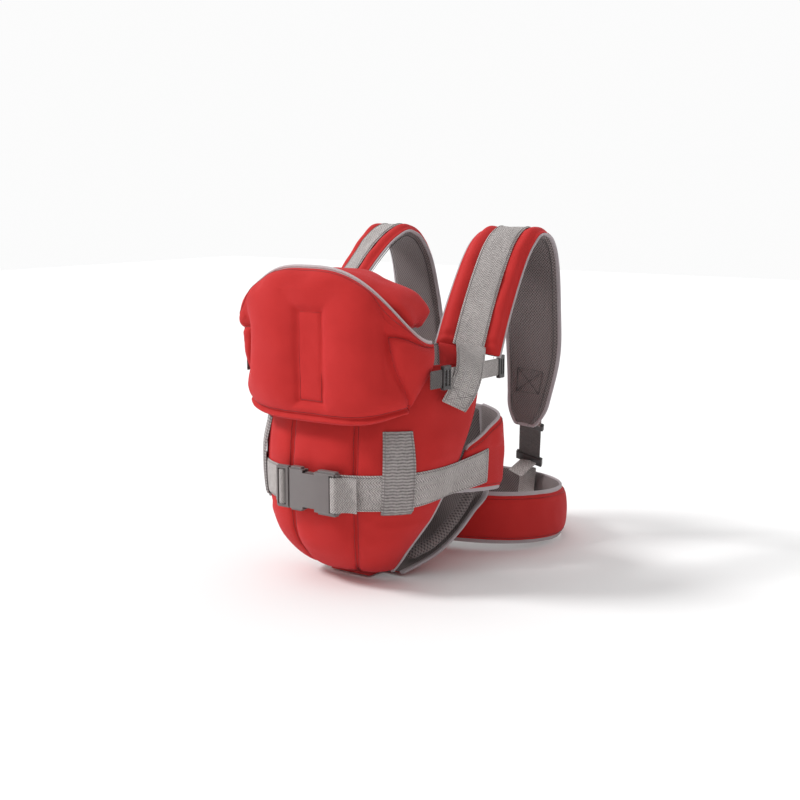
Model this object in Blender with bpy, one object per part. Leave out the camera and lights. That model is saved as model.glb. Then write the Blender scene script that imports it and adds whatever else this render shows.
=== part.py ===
"""Soft baby carrier backpack: pouch, head support, padded harness, waist belt and their hardware.

Frame: +Z up, the pouch faces -Y, the wearer stands on the +Y side, and X = 0 is the plane of symmetry.
The carrier stands on its flat pouch base and on the back of the waist belt, at Z = 0.
Names ending in _right are at +X, and _left at -X.
"""

import math

import bmesh
import bpy
from mathutils import Matrix, Vector

# Driving dimensions, in metres.
GAP = 0.0004                  # clearance kept between touching pieces
PANEL_THICK = 0.010           # padded front panel
MESH_THICK = 0.002            # spacer-mesh lining
WING_THICK = 0.008            # padded side wing
HOOD_THICK = 0.012            # padded head support
CROWN_THICK = 0.014
PAD_WIDTH = 0.092             # shoulder pad
PAD_THICK = 0.012
BELT_THICK = 0.012
BELT_HEIGHT = 0.078
WEB_THICK = 0.0016            # every webbing
WAIST_WEB = 0.050             # webbing widths
SHOULDER_WEB = 0.045
REAR_WEB = 0.038
HEAD_WEB = 0.025
PIPING_RADIUS = 0.003
LEG_ROLL_RADIUS = 0.009

ORIGIN_Y = 0.22125            # middle of the whole depth; the shapes below are laid out from the pouch front

BELT_CENTRE_Y = 0.368
BELT_RADIUS_X = 0.152
BELT_RADIUS_Y = 0.122
BELT_MID_Z = 0.0452
BELT_DROP = 0.05              # fall of the belt per metre towards the back

BUCKLE_Z = 0.141
BUCKLE_Y = -0.0465            # middle of the buckle's thickness
SOCKET_LENGTH = 0.084
SOCKET_WIDTH = 0.062
SOCKET_THICK = 0.014
SOCKET_X = 0.012              # middle of the socket
CAVITY_WIDTH = 0.054
CAVITY_THICK = 0.0085
CAVITY_DEPTH = 0.060

RED = (0.62, 0.035, 0.040)
WEB_GREY = (0.36, 0.33, 0.32)
REAR_GREY = (0.17, 0.15, 0.15)
MESH_GREY = (0.14, 0.11, 0.11)
TRIM_GREY = (0.48, 0.43, 0.42)
BUCKLE_GREY = (0.17, 0.15, 0.15)
BLACK = (0.025, 0.022, 0.022)

# Rows of the padded front panel, bottom to top: (centre y, z) and (edge x, y, z).
FRONT_ROWS = [
    ((0.046, 0.0095), (0.066, 0.064, 0.0100)),
    ((0.018, 0.0135), (0.078, 0.067, 0.026)),
    ((-0.005, 0.030), (0.090, 0.071, 0.046)),
    ((-0.022, 0.065), (0.114, 0.084, 0.087)),
    ((-0.030, 0.110), (0.131, 0.090, 0.122)),
    ((-0.031, 0.155), (0.143, 0.103, 0.160)),
    ((-0.029, 0.200), (0.150, 0.120, 0.196)),
    ((-0.024, 0.245), (0.152, 0.142, 0.240)),
    ((-0.019, 0.285), (0.150, 0.156, 0.280)),
    ((-0.014, 0.312), (0.146, 0.164, 0.312)),
]
# The same for the seat and back panel on the wearer's side.
SEAT_ROWS = [
    ((0.080, 0.006), (0.072, 0.078, 0.0062)),
    ((0.125, 0.015), (0.096, 0.128, 0.028)),
    ((0.165, 0.036), (0.114, 0.156, 0.056)),
    ((0.196, 0.070), (0.124, 0.184, 0.085)),
    ((0.213, 0.105), (0.128, 0.212, 0.106)),
    ((0.224, 0.150), (0.118, 0.230, 0.145)),
    ((0.230, 0.195), (0.108, 0.235, 0.190)),
    ((0.233, 0.235), (0.103, 0.237, 0.230)),
]
# The same for the head support; its top row is the piped rim.
HOOD_ROWS = [
    ((-0.043, 0.224), (0.128, 0.012, 0.268)),
    ((-0.046, 0.250), (0.138, 0.018, 0.283)),
    ((-0.047, 0.295), (0.147, 0.024, 0.297)),
    ((-0.047, 0.345), (0.153, 0.030, 0.308)),
    ((-0.048, 0.395), (0.154, 0.034, 0.318)),
    ((-0.046, 0.430), (0.153, 0.036, 0.326)),
    ((-0.042, 0.448), (0.151, 0.038, 0.332)),
]
# Rows of the crown, from the rim to the back edge behind the head.
CROWN_ROWS = [
    ((-0.028, 0.436), (0.126, 0.018, 0.362)),
    ((0.005, 0.442), (0.126, 0.040, 0.352)),
    ((0.042, 0.440), (0.121, 0.064, 0.345)),
    ((0.064, 0.420), (0.114, 0.092, 0.340)),
]
# Middle of the right shoulder pad, from the chest end over the shoulder to the back end.
PAD_ROUTE = [
    (0.141, 0.138, 0.327),
    (0.129, 0.186, 0.385),
    (0.119, 0.240, 0.446),
    (0.115, 0.275, 0.475),
    (0.114, 0.305, 0.485),
    (0.113, 0.336, 0.474),
    (0.111, 0.358, 0.440),
    (0.109, 0.372, 0.380),
    (0.105, 0.384, 0.300),
    (0.099, 0.385, 0.235),
    (0.095, 0.378, 0.180),
]
PAD_TURN_FRONT = math.radians(36)    # how far the pad faces outwards at the chest
PAD_TURN_BACK = math.radians(5)      # and at the back
# Outline of the side wing seen from above, from the front panel's edge to the back panel.
WING_OUTLINE = [(0.158, 0.164), (0.152, 0.205), (0.129, 0.233)]
ANCHOR_ROUTE = [
    (0.1550, 0.082, 0.247),
    (0.1685, 0.099, 0.279),
    (0.1700, 0.113, 0.308),
    (0.1530, 0.128, 0.336),
]
ANCHOR_SIDES = [(0.20, 0.90, -0.40), (0.03, 0.92, -0.40), (0.04, 0.95, -0.30), (0.60, 0.75, -0.20)]
REAR_WEB_TOP = Vector((0.094, 0.3965, 0.198))
REAR_WEB_LOW = Vector((0.047, 0.474, 0.098))
HEAD_WEB_FRONT = Vector((0.1635, 0.050, 0.300))
HEAD_WEB_BACK = Vector((0.1635, 0.200, 0.300))


def clear_scene():
    for item in list(bpy.data.objects):
        bpy.data.objects.remove(item, do_unlink=True)


def make_material(name, colour, roughness, metallic=0.0):
    material = bpy.data.materials.new(name)
    material.use_nodes = True
    shader = material.node_tree.nodes["Principled BSDF"]
    shader.inputs["Base Color"].default_value = (*colour, 1.0)
    shader.inputs["Roughness"].default_value = roughness
    shader.inputs["Metallic"].default_value = metallic
    return material


def link_mesh(name, mesh, material_look):
    mesh.materials.append(make_material(name + "_finish", *material_look))
    item = bpy.data.objects.new(name, mesh)
    bpy.context.scene.collection.objects.link(item)
    return item


def mesh_from(name, verts, faces, material_look, smooth_angle=40):
    """One closed mesh object with its faces turned outwards."""
    shape = bmesh.new()
    points = [shape.verts.new(vert) for vert in verts]
    for face in faces:
        shape.faces.new([points[index] for index in face])
    bmesh.ops.recalc_face_normals(shape, faces=shape.faces)
    mesh = bpy.data.meshes.new(name)
    shape.to_mesh(mesh)
    shape.free()
    mesh.shade_smooth()
    mesh.set_sharp_from_angle(angle=math.radians(smooth_angle))
    return link_mesh(name, mesh, material_look)


def spline(points, t):
    """Point at t (0 to 1) on a Catmull-Rom curve through the points."""
    vectors = [Vector(point) for point in points]
    spans = len(vectors) - 1
    place = min(max(t, 0.0), 1.0) * spans
    index = min(int(place), spans - 1)
    f = place - index
    b = vectors[index]
    c = vectors[index + 1]
    a = vectors[index - 1] if index > 0 else b * 2 - c
    d = vectors[index + 2] if index + 2 <= spans else c * 2 - b
    return 0.5 * (b * 2 + (c - a) * f + (a * 2 - b * 5 + c * 4 - d) * f ** 2 + (b * 3 - a - c * 3 + d) * f ** 3)


def lofted(rows, squareness, z_power):
    """Surface function of (u, v): u from -1 to 1 across, v from 0 to 1 up the rows.

    Each row is part of a superellipse from its centre to its edges. squareness and z_power are
    (bottom, top) pairs: the superellipse's exponent, and how late a row turns up towards its edge.
    """
    centres = [(row[0][0], row[0][1], 0.0) for row in rows]
    edges = [row[1] for row in rows]

    def surface(u, v):
        centre = spline(centres, v)
        edge = spline(edges, v)
        exponent = squareness[0] + (squareness[1] - squareness[0]) * v
        rise = z_power[0] + (z_power[1] - z_power[0]) * v
        angle = abs(u) * math.pi / 2
        size = (math.sin(angle) ** exponent + max(0.0, math.cos(angle)) ** exponent) ** (1 / exponent)
        across = math.sin(angle) / size
        back = 1 - math.cos(angle) / size
        x = math.copysign(edge.x * across, u)
        y = centre.x + (edge.y - centre.x) * back
        z = centre.y + (edge.z - centre.y) * across ** rise
        return Vector((x, y, z))

    return surface


front_surface = lofted(FRONT_ROWS, (3.0, 2.2), (3.0, 2.0))
hood_surface = lofted(HOOD_ROWS, (2.4, 2.4), (5.0, 2.9))
crown_surface = lofted(CROWN_ROWS, (2.2, 2.2), (2.6, 2.6))


def seat_surface(u, v):
    """Shallow scoop whose sides rise as the square of the distance from its middle."""
    centre = spline([(row[0][0], row[0][1], 0.0) for row in SEAT_ROWS], v)
    edge = spline([row[1] for row in SEAT_ROWS], v)
    return Vector((edge.x * u, centre.x + (edge.y - centre.x) * u * u, centre.y + (edge.z - centre.y) * u * u))


def front_at(u, z):
    """Point of the front panel's middle surface at u, at height z."""
    low = 0.0
    high = 1.0
    for _ in range(24):
        middle = (low + high) / 2
        if front_surface(u, middle).z < z:
            low = middle
        else:
            high = middle
    return front_surface(u, low)


def wing_at(s, z):
    """Point of the right side wing's middle surface: s from the front panel's edge to the back."""
    start = front_at(1.0, z)
    outline = [(start.x + 0.001, start.y + 0.0055, 0.0)] + [(x, y, 0.0) for x, y in WING_OUTLINE]
    place = spline(outline, s)
    return Vector((place.x, place.y, z))


def shell(name, surface, spans, low, high, look, ring=False, lift=None):
    """Closed solid between two offsets, low and high, of a surface function of (s, t), both 0 to 1.

    Positive offsets are along the surface's own normal, d/ds cross d/dt. A ring joins s = 1 to s = 0.
    """
    columns, rows = spans
    step = 1e-4
    count = columns if ring else columns + 1
    verts = []
    for offset in (low, high):
        for i in range(count):
            for j in range(rows + 1):
                s = i / columns
                t = j / rows
                s_from, s_to = (s - step, s + step) if ring else (max(s - step, 0), min(s + step, 1))
                t_from, t_to = max(t - step, 0), min(t + step, 1)
                along = surface(s_to, t) - surface(s_from, t)
                up = surface(s, t_to) - surface(s, t_from)
                normal = along.cross(up).normalized()
                extra = lift(s, t) if lift else 0.0
                verts.append(surface(s, t) + normal * (offset + extra))
    layer = count * (rows + 1)

    def index(side, i, j):
        return side * layer + (i % count) * (rows + 1) + j

    faces = []
    for i in range(columns):
        for j in range(rows):
            for side in (0, 1):
                faces.append([index(side, i, j), index(side, i + 1, j),
                              index(side, i + 1, j + 1), index(side, i, j + 1)])
        for j in (0, rows):
            faces.append([index(0, i, j), index(0, i + 1, j), index(1, i + 1, j), index(1, i, j)])
    if not ring:
        for i in (0, columns):
            for j in range(rows):
                faces.append([index(0, i, j), index(0, i, j + 1), index(1, i, j + 1), index(1, i, j)])
    return mesh_from(name, verts, faces, look)


def patch(surface, u_range, v_range):
    """The part of a (u, v) surface in the given ranges, as a function of (s, t)."""
    u0, u1 = u_range
    v0, v1 = v_range
    return lambda s, t: surface(u0 + (u1 - u0) * s, v0 + (v1 - v0) * t)


def mirrored(surface):
    """The same surface on the other side of X = 0, running the other way so its normal stays outside."""
    flip = Matrix.Diagonal((-1, 1, 1))
    return lambda s, t: flip @ surface(1 - s, t)


def both_sides(base, surface, spans, low, high, look, lift=None):
    """A right piece and its mirrored left twin."""
    shell(base + "_right", surface, spans, low, high, look, lift=lift)
    left_lift = (lambda s, t: lift(1 - s, t)) if lift else None
    shell(base + "_left", mirrored(surface), spans, low, high, look, lift=left_lift)


def tube(name, route, radius, look, sides=8, steps=24, flip=1):
    """Closed round bar along a smooth curve through the route's points."""
    points = [spline(route, i / steps) for i in range(steps + 1)]
    verts = []
    faces = []
    side_hint = Vector((0.3, 0.2, 1.0))
    for i, point in enumerate(points):
        ahead = points[min(i + 1, steps)] - points[max(i - 1, 0)]
        across = ahead.cross(side_hint).normalized()
        lift = across.cross(ahead).normalized()
        for k in range(sides):
            angle = 2 * math.pi * k / sides
            vert = point + (across * math.cos(angle) + lift * math.sin(angle)) * radius
            verts.append((vert.x * flip, vert.y, vert.z))
    for i in range(steps):
        for k in range(sides):
            n = (k + 1) % sides
            faces.append([i * sides + k, i * sides + n, (i + 1) * sides + n, (i + 1) * sides + k])
    faces.append(list(range(sides)))
    faces.append([steps * sides + k for k in range(sides)])
    return mesh_from(name, verts, faces, look)


def block(name, size, centre, look=None, bevel=0.0, segments=2):
    """Box of a size around a centre; without a look it is a hidden cutter."""
    shape = bmesh.new()
    bmesh.ops.create_cube(shape, size=1.0)
    bmesh.ops.scale(shape, vec=size, verts=shape.verts)
    if bevel:
        bmesh.ops.bevel(shape, geom=shape.edges[:], offset=bevel, segments=segments, affect="EDGES")
    mesh = bpy.data.meshes.new(name)
    shape.to_mesh(mesh)
    shape.free()
    if look:
        item = link_mesh(name, mesh, look)
    else:
        item = bpy.data.objects.new(name, mesh)
        bpy.context.scene.collection.objects.link(item)
        item.hide_render = True
        item.display_type = "WIRE"
    item.location = centre
    return item


def cut(target, cutter):
    modifier = target.modifiers.new("cut_" + cutter.name, "BOOLEAN")
    modifier.operation = "DIFFERENCE"
    modifier.solver = "EXACT"
    modifier.object = cutter


def front_pouch():
    body = patch(front_surface, (-1, 1), (0, 1))
    half = PANEL_THICK / 2
    spans = (22, 12)
    shell("front_panel", body, spans, -half, half, (RED, 0.85))
    shell("front_panel_lining", body, spans, -half - GAP - MESH_THICK, -half - GAP, (MESH_GREY, 0.9))
    block("pouch_base", (0.116, 0.052, 0.0034), (0, 0.052, 0.0017), (RED, 0.85), bevel=0.001)


def seat_and_wings():
    # The seat's normal, across cross up, points to the baby, so its red outside is the low side.
    seat = patch(seat_surface, (-1, 1), (0, 1))
    spans = (8, 10)
    shell("back_panel", seat, spans, -0.006, -0.002, (RED, 0.85))
    shell("back_panel_lining", seat, spans, -0.002 + GAP, 0.0012, (MESH_GREY, 0.9))

    def wing(s, t):
        bottom = 0.128 - 0.012 * s
        top = 0.192 + 0.040 * math.sin(s * math.pi / 2)
        return wing_at(s, bottom + (top - bottom) * t)

    half = WING_THICK / 2
    both_sides("side_wing", wing, (8, 4), -half, half, (RED, 0.85))
    both_sides("side_wing_lining", wing, (8, 4), -half - GAP - MESH_THICK, -half - GAP, (MESH_GREY, 0.9))
    roll_route = [(0.066, 0.096, 0.024), (0.088, 0.128, 0.042), (0.102, 0.158, 0.068),
                  (0.110, 0.184, 0.098), (0.108, 0.200, 0.124)]
    for suffix, flip in (("_right", 1), ("_left", -1)):
        tube("leg_roll" + suffix, roll_route, LEG_ROLL_RADIUS, (MESH_GREY, 0.9), steps=14, flip=flip)


def head_support():
    half = HOOD_THICK / 2
    body = patch(hood_surface, (-1, 1), (0, 1))
    spans = (22, 10)
    shell("head_support_panel", body, spans, -half, half, (RED, 0.85))
    shell("head_support_lining", body, spans, -half - GAP - MESH_THICK, -half - GAP, (MESH_GREY, 0.9))
    rim = []
    for i in range(17):
        u = -0.96 + 1.92 * i / 16
        top = hood_surface(u, 1.0)
        inner = hood_surface(u, 0.98)
        rim.append(top + (top - inner).normalized() * (PIPING_RADIUS + 6 * GAP))
    tube("head_support_piping", rim, PIPING_RADIUS, (TRIM_GREY, 0.8), sides=6, steps=32)

    # The crown starts behind the rim's lining and roofs over the space for the head.
    crown = patch(crown_surface, (-1, 1), (0, 1))
    shell("head_support_crown", crown, (18, 5), -CROWN_THICK / 2, CROWN_THICK / 2, (RED, 0.85))


def pad_frame(v):
    """Middle point, across and outward directions of the right shoulder pad at v (0 chest, 1 back)."""
    point = spline(PAD_ROUTE, v)
    ahead = (spline(PAD_ROUTE, min(v + 0.01, 1)) - spline(PAD_ROUTE, max(v - 0.01, 0))).normalized()
    turn = PAD_TURN_FRONT + (PAD_TURN_BACK - PAD_TURN_FRONT) * min(1.0, v * 1.4)
    across = Vector((math.cos(turn), math.sin(turn), 0.0))
    across = (across - ahead * across.dot(ahead)).normalized()
    return point, across


def pad_strip(width, v_range, end_round=0.0):
    """Strip of the shoulder pad's middle surface, with the back end rounded in by end_round."""
    v0, v1 = v_range

    def surface(s, t):
        point, across = pad_frame(v0 + (v1 - v0) * t)
        taper = 1.0 - end_round * max(0.0, (t - 0.93) / 0.07) ** 2
        return point + across * width * taper * (s - 0.5)

    return surface


def shoulder_straps():
    half = PAD_THICK / 2
    both_sides("shoulder_pad", pad_strip(PAD_WIDTH, (0, 1), 0.35), (2, 26), -half, half, (RED, 0.85))
    both_sides("shoulder_pad_lining", pad_strip(PAD_WIDTH, (0, 1), 0.35), (2, 26),
               -half - GAP - MESH_THICK, -half - GAP, (MESH_GREY, 0.9))
    both_sides("shoulder_webbing", pad_strip(SHOULDER_WEB, (0, 1)), (2, 26),
               half + 0.0015, half + 0.0015 + WEB_THICK, (WEB_GREY, 0.8))

    def anchor(s, t):
        """From the wing, outwards over the head support's webbing, then in to the pad's chest end."""
        point = spline(ANCHOR_ROUTE, t)
        side = spline(ANCHOR_SIDES, t).normalized()
        return point + side * SHOULDER_WEB * (s - 0.5)

    both_sides("shoulder_anchor", anchor, (2, 8), 0.0, WEB_THICK, (WEB_GREY, 0.8))


def straight_strip(start, end, width, side):
    """Flat strip between two points; side is roughly its width direction."""
    ahead = (end - start).normalized()
    across = (side - ahead * side.dot(ahead)).normalized()
    return lambda s, t: start + (end - start) * t + across * width * (s - 0.5)


def glide(name, centre, ahead, side, web_width, look, length, flip):
    """Webbing slide: a flat sleeve with the webbing's slot through it and a window on each side of a bar."""
    ahead = ahead.normalized()
    across = (side - ahead * side.dot(ahead)).normalized()
    normal = across.cross(ahead).normalized()
    turn = Matrix((across, ahead, normal)).transposed()
    wall = 0.0018
    bar = 0.003
    slot = WEB_THICK + 0.0012
    body = block(name, (web_width + 0.008, length, slot + 2 * wall), (0, 0, 0), look, bevel=0.0009, segments=1)
    cutters = [block(name + "_slot", (web_width + 0.0016, length * 2, slot), (0, 0, 0))]
    window = (length - 3 * bar) / 2
    for direction in (-1, 1):
        place = (0, direction * (window + bar) / 2, slot / 4 + wall)
        cutters.append(block("%s_window%d" % (name, direction + 1), (web_width - 0.003, window, 2 * wall), place))
    placement = Matrix.Translation(centre) @ turn.to_4x4()
    if flip < 0:
        # A half turn about the strip's own length keeps the mirrored slide a proper rotation.
        mirror = Matrix.Diagonal((-1, 1, 1, 1))
        placement = mirror @ placement @ Matrix.Diagonal((-1, 1, 1, 1))
    for item in [body] + cutters:
        item.matrix_world = placement @ Matrix.Translation(item.location)
    for cutter in cutters:
        cut(body, cutter)


def rear_harness():
    side = Vector((1.0, 0.0, 0.0))
    web = straight_strip(REAR_WEB_TOP, REAR_WEB_LOW, REAR_WEB, side)
    both_sides("rear_webbing", web, (1, 6), -WEB_THICK / 2, WEB_THICK / 2, (REAR_GREY, 0.8))
    ahead = REAR_WEB_LOW - REAR_WEB_TOP
    anchor_top = REAR_WEB_LOW + Vector((0.0, -0.002, -0.0075))
    belt_side = Vector((1.0, -0.30, 0.0))
    anchor = straight_strip(anchor_top, anchor_top + Vector((-0.001, -0.0065, -0.048)), REAR_WEB, belt_side)
    both_sides("belt_anchor", anchor, (1, 4), -WEB_THICK / 2, WEB_THICK / 2, (WEB_GREY, 0.8))
    for suffix, flip in (("_right", 1), ("_left", -1)):
        low = REAR_WEB_LOW - ahead.normalized() * 0.010
        high = REAR_WEB_TOP + ahead.normalized() * 0.030
        glide("ladder_lock" + suffix, low, ahead, side, REAR_WEB, (BLACK, 0.4), 0.020, flip)
        glide("rear_keeper" + suffix, high, ahead, side, REAR_WEB, (BLACK, 0.4), 0.014, flip)


def belt_surface(s, t):
    angle = -2 * math.pi * s
    x = BELT_RADIUS_X * math.cos(angle)
    y = BELT_CENTRE_Y + BELT_RADIUS_Y * math.sin(angle)
    middle = BELT_MID_Z + (BELT_CENTRE_Y - y) * BELT_DROP
    return Vector((x, y, middle + BELT_HEIGHT * (t - 0.5)))


def waist_belt():
    # Its normal points inwards, so the lining is on the high side.
    half = BELT_THICK / 2
    spans = (40, 1)
    shell("waist_belt_pad", belt_surface, spans, -half, half, (RED, 0.85), ring=True)
    shell("waist_belt_lining", belt_surface, spans, half + GAP, half + GAP + MESH_THICK, (MESH_GREY, 0.9),
          ring=True)


def belt_bridge():
    """Padded gusset that joins the back panel to the middle of the belt's front."""
    verts = []
    columns = 8
    for i in range(columns + 1):
        x = -0.05 + 0.10 * i / columns
        reach = math.sqrt(1 - (x / (BELT_RADIUS_X + BELT_THICK / 2)) ** 2)
        belt_y = BELT_CENTRE_Y - (BELT_RADIUS_Y + BELT_THICK / 2) * reach - 2 * GAP
        verts += [(x, 0.1985, 0.052), (x, belt_y, 0.052), (x, belt_y, 0.084), (x, 0.2145, 0.084)]
    faces = [[0, 1, 2, 3], [4 * columns + k for k in range(4)]]
    for i in range(columns):
        for k in range(4):
            n = (k + 1) % 4
            faces.append([4 * i + k, 4 * i + n, 4 * i + 4 + n, 4 * i + 4 + k])
    mesh_from("belt_bridge", verts, faces, (RED, 0.85))


def waist_webbing():
    half = PANEL_THICK / 2

    def strip(s, t):
        """Right webbing: over the front panel from the buckle, then onto the side wing."""
        z = BUCKLE_Z + 0.020 * s ** 1.5 + WAIST_WEB * (t - 0.5)
        split = 0.68
        if s < split:
            return front_at(0.20 + 0.80 * s / split, z)
        return wing_at(0.30 * (s - split) / (1 - split), z)

    both_sides("waist_webbing", strip, (26, 3), half + 0.001, half + 0.001 + WEB_THICK, (WEB_GREY, 0.8))

    def keeper(s, t):
        return front_at(0.47 - 0.07 * t + (0.235 - 0.065 * t) * s, 0.104 + 0.126 * t)

    def over_webbing(s, t):
        ramp = min(1.0, t / 0.07, (1 - t) / 0.40)
        return 0.0034 * ramp

    both_sides("webbing_keeper", keeper, (4, 18), half + GAP, half + GAP + WEB_THICK, (WEB_GREY, 0.8),
               lift=over_webbing)


def waist_buckle():
    plastic = (BUCKLE_GREY, 0.45)
    socket = block("buckle_socket", (SOCKET_LENGTH, SOCKET_THICK, SOCKET_WIDTH),
                   (SOCKET_X, BUCKLE_Y, BUCKLE_Z), plastic, bevel=0.003)
    mouth_x = SOCKET_X - SOCKET_LENGTH / 2
    cavity = block("socket_cavity", (2 * CAVITY_DEPTH, CAVITY_THICK, CAVITY_WIDTH),
                   (mouth_x, BUCKLE_Y, BUCKLE_Z))
    cut(socket, cavity)
    slot_x = SOCKET_X + SOCKET_LENGTH / 2 - 0.0085
    slot = block("socket_slot", (0.006, 2 * SOCKET_THICK, WAIST_WEB + 0.002), (slot_x, BUCKLE_Y, BUCKLE_Z))
    cut(socket, slot)
    for side, sign in (("upper", 1), ("lower", -1)):
        notch = block("socket_notch_" + side, (0.030, 2 * SOCKET_THICK, 0.014),
                      (SOCKET_X - 0.006, BUCKLE_Y, BUCKLE_Z + sign * SOCKET_WIDTH / 2), bevel=0.0045)
        cut(socket, notch)

    # Prong: a ladder frame outside the socket and a guide blade inside it.
    ladder_length = 0.024
    ladder_x = mouth_x - ladder_length / 2 - 0.001
    prong = block("buckle_prong", (ladder_length, 0.0085, SOCKET_WIDTH - 0.002),
                  (ladder_x, BUCKLE_Y, BUCKLE_Z), plastic, bevel=0.002)
    for k in (-1, 1):
        ladder_slot = block("prong_slot%d" % (k + 1), (0.0052, 0.05, WAIST_WEB + 0.001),
                            (ladder_x - 0.0012 + k * 0.0046, BUCKLE_Y, BUCKLE_Z))
        cut(prong, ladder_slot)
    blade = block("prong_blade", (0.052, 0.005, 0.010), (mouth_x + 0.024, BUCKLE_Y, BUCKLE_Z))
    union = prong.modifiers.new("blade", "BOOLEAN")
    union.operation = "UNION"
    union.solver = "EXACT"
    union.object = blade

    for side, sign in (("upper", 1), ("lower", -1)):
        pivot = Vector((mouth_x + 0.0015, BUCKLE_Y, BUCKLE_Z + sign * 0.0165))
        outline = [(0.0, -0.003), (0.030, -0.001), (0.050, 0.001), (0.050, 0.0050), (0.044, 0.0088),
                   (0.026, 0.0088), (0.018, 0.0045), (0.0, 0.0030)]
        verts = []
        for y in (-0.003, 0.003):
            for x, z in outline:
                verts.append((x, y, z * sign))
        count = len(outline)
        faces = [list(range(count)), [count + k for k in range(count)]]
        for k in range(count):
            n = (k + 1) % count
            faces.append([k, n, count + n, count + k])
        arm = mesh_from("latch_arm_" + side, verts, faces, plastic)
        arm.location = pivot


def head_straps():
    side = Vector((0.0, 0.0, -1.0))
    web = straight_strip(HEAD_WEB_FRONT, HEAD_WEB_BACK, HEAD_WEB, side)
    both_sides("head_strap_webbing", web, (1, 10), -WEB_THICK / 2, WEB_THICK / 2, (WEB_GREY, 0.8))
    ahead = HEAD_WEB_BACK - HEAD_WEB_FRONT
    loop_end = HEAD_WEB_FRONT + Vector((0.0006, -0.0110, 0.0))
    loop_start = loop_end + Vector((-0.0010, -0.0260, 0.0))
    loop = straight_strip(loop_start, loop_end, HEAD_WEB, side)
    both_sides("head_strap_loop", loop, (1, 2), -0.0002, 0.0014, (TRIM_GREY, 0.8))
    for suffix, flip in (("_right", 1), ("_left", -1)):
        buckle_at = HEAD_WEB_FRONT + ahead.normalized() * 0.0005
        keeper_at = HEAD_WEB_BACK - ahead.normalized() * 0.010
        glide("head_strap_slider" + suffix, buckle_at, ahead, side, HEAD_WEB, (BLACK, 0.4), 0.018, flip)
        glide("head_strap_keeper" + suffix, keeper_at, ahead, side, HEAD_WEB, (BLACK, 0.4), 0.014, flip)


def set_origin():
    """Hang every piece on one empty, so that the origin is below the middle of the whole carrier."""
    origin = bpy.data.objects.new("origin", None)
    bpy.context.scene.collection.objects.link(origin)
    origin.location.y = -ORIGIN_Y
    for item in bpy.data.objects:
        if item != origin:
            item.parent = origin


clear_scene()
front_pouch()
seat_and_wings()
head_support()
shoulder_straps()
rear_harness()
waist_belt()
belt_bridge()
waist_webbing()
waist_buckle()
head_straps()
set_origin()
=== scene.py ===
"""Looks of the soft baby carrier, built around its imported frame.

Shapes are laid out in metres in the CAD source's coordinates: Y runs from the pouch front, and
ORIGIN_Y moves it to the frame's own origin when a mesh is made. The tables began as the CAD
source's; the pouch, head support, crown, wing and anchor are a little finer here.
"""

import math

import bmesh
import bpy
import numpy as np
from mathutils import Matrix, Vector


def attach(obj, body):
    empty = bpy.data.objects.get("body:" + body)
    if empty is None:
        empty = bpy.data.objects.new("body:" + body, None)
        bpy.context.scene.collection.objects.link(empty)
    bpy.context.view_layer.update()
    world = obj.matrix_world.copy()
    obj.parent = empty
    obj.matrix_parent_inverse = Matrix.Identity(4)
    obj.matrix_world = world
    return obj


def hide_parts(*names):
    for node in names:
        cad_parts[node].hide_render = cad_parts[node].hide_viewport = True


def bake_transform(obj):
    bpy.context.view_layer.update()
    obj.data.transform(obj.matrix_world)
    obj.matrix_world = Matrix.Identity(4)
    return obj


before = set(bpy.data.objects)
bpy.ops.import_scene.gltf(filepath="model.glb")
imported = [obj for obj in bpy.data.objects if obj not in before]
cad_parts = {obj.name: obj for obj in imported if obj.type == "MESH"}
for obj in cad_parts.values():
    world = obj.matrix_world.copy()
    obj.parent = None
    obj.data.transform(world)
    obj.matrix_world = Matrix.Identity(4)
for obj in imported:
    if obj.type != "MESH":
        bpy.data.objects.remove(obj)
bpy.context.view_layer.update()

ORIGIN_Y = 0.22125
GAP = 0.0004
PANEL_HALF = 0.005
WING_HALF = 0.004
HOOD_HALF = 0.006
CROWN_HALF = 0.007
PAD_HALF = 0.006
PAD_WIDTH = 0.092
BELT_HALF = 0.006
BELT_HEIGHT = 0.078
WAIST_WEB = 0.050
SHOULDER_WEB = 0.045
REAR_WEB = 0.038
TAIL_WEB = 0.033
HEAD_WEB = 0.025
BELT_CENTRE_Y = 0.368
BELT_RADIUS_X = 0.152
BELT_RADIUS_Y = 0.122
BELT_MID_Z = 0.0452
BELT_DROP = 0.05
BRIDGE_Y = 0.2065
BRIDGE_Z = 0.068
BUCKLE_Z = 0.141
EDGE_HALF = 0.0013
SEAM_S = (0.35, 0.65)
PANEL_EDGE = (0.005, 0.010)
WING_EDGE = (0.004, 0.008)
HOOD_EDGE = (0.001, 0.011)
PAD_EDGE = (0.0045, 0.009)
BELT_EDGE = (0.0045, 0.010)
RISE = 0.020
WEB_SPLIT = 0.68
BINDING_LIFT = -0.0022
WEB_EDGE = 0.0016
WEB_RISE = 0.0012
BISECTIONS = 22

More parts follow.
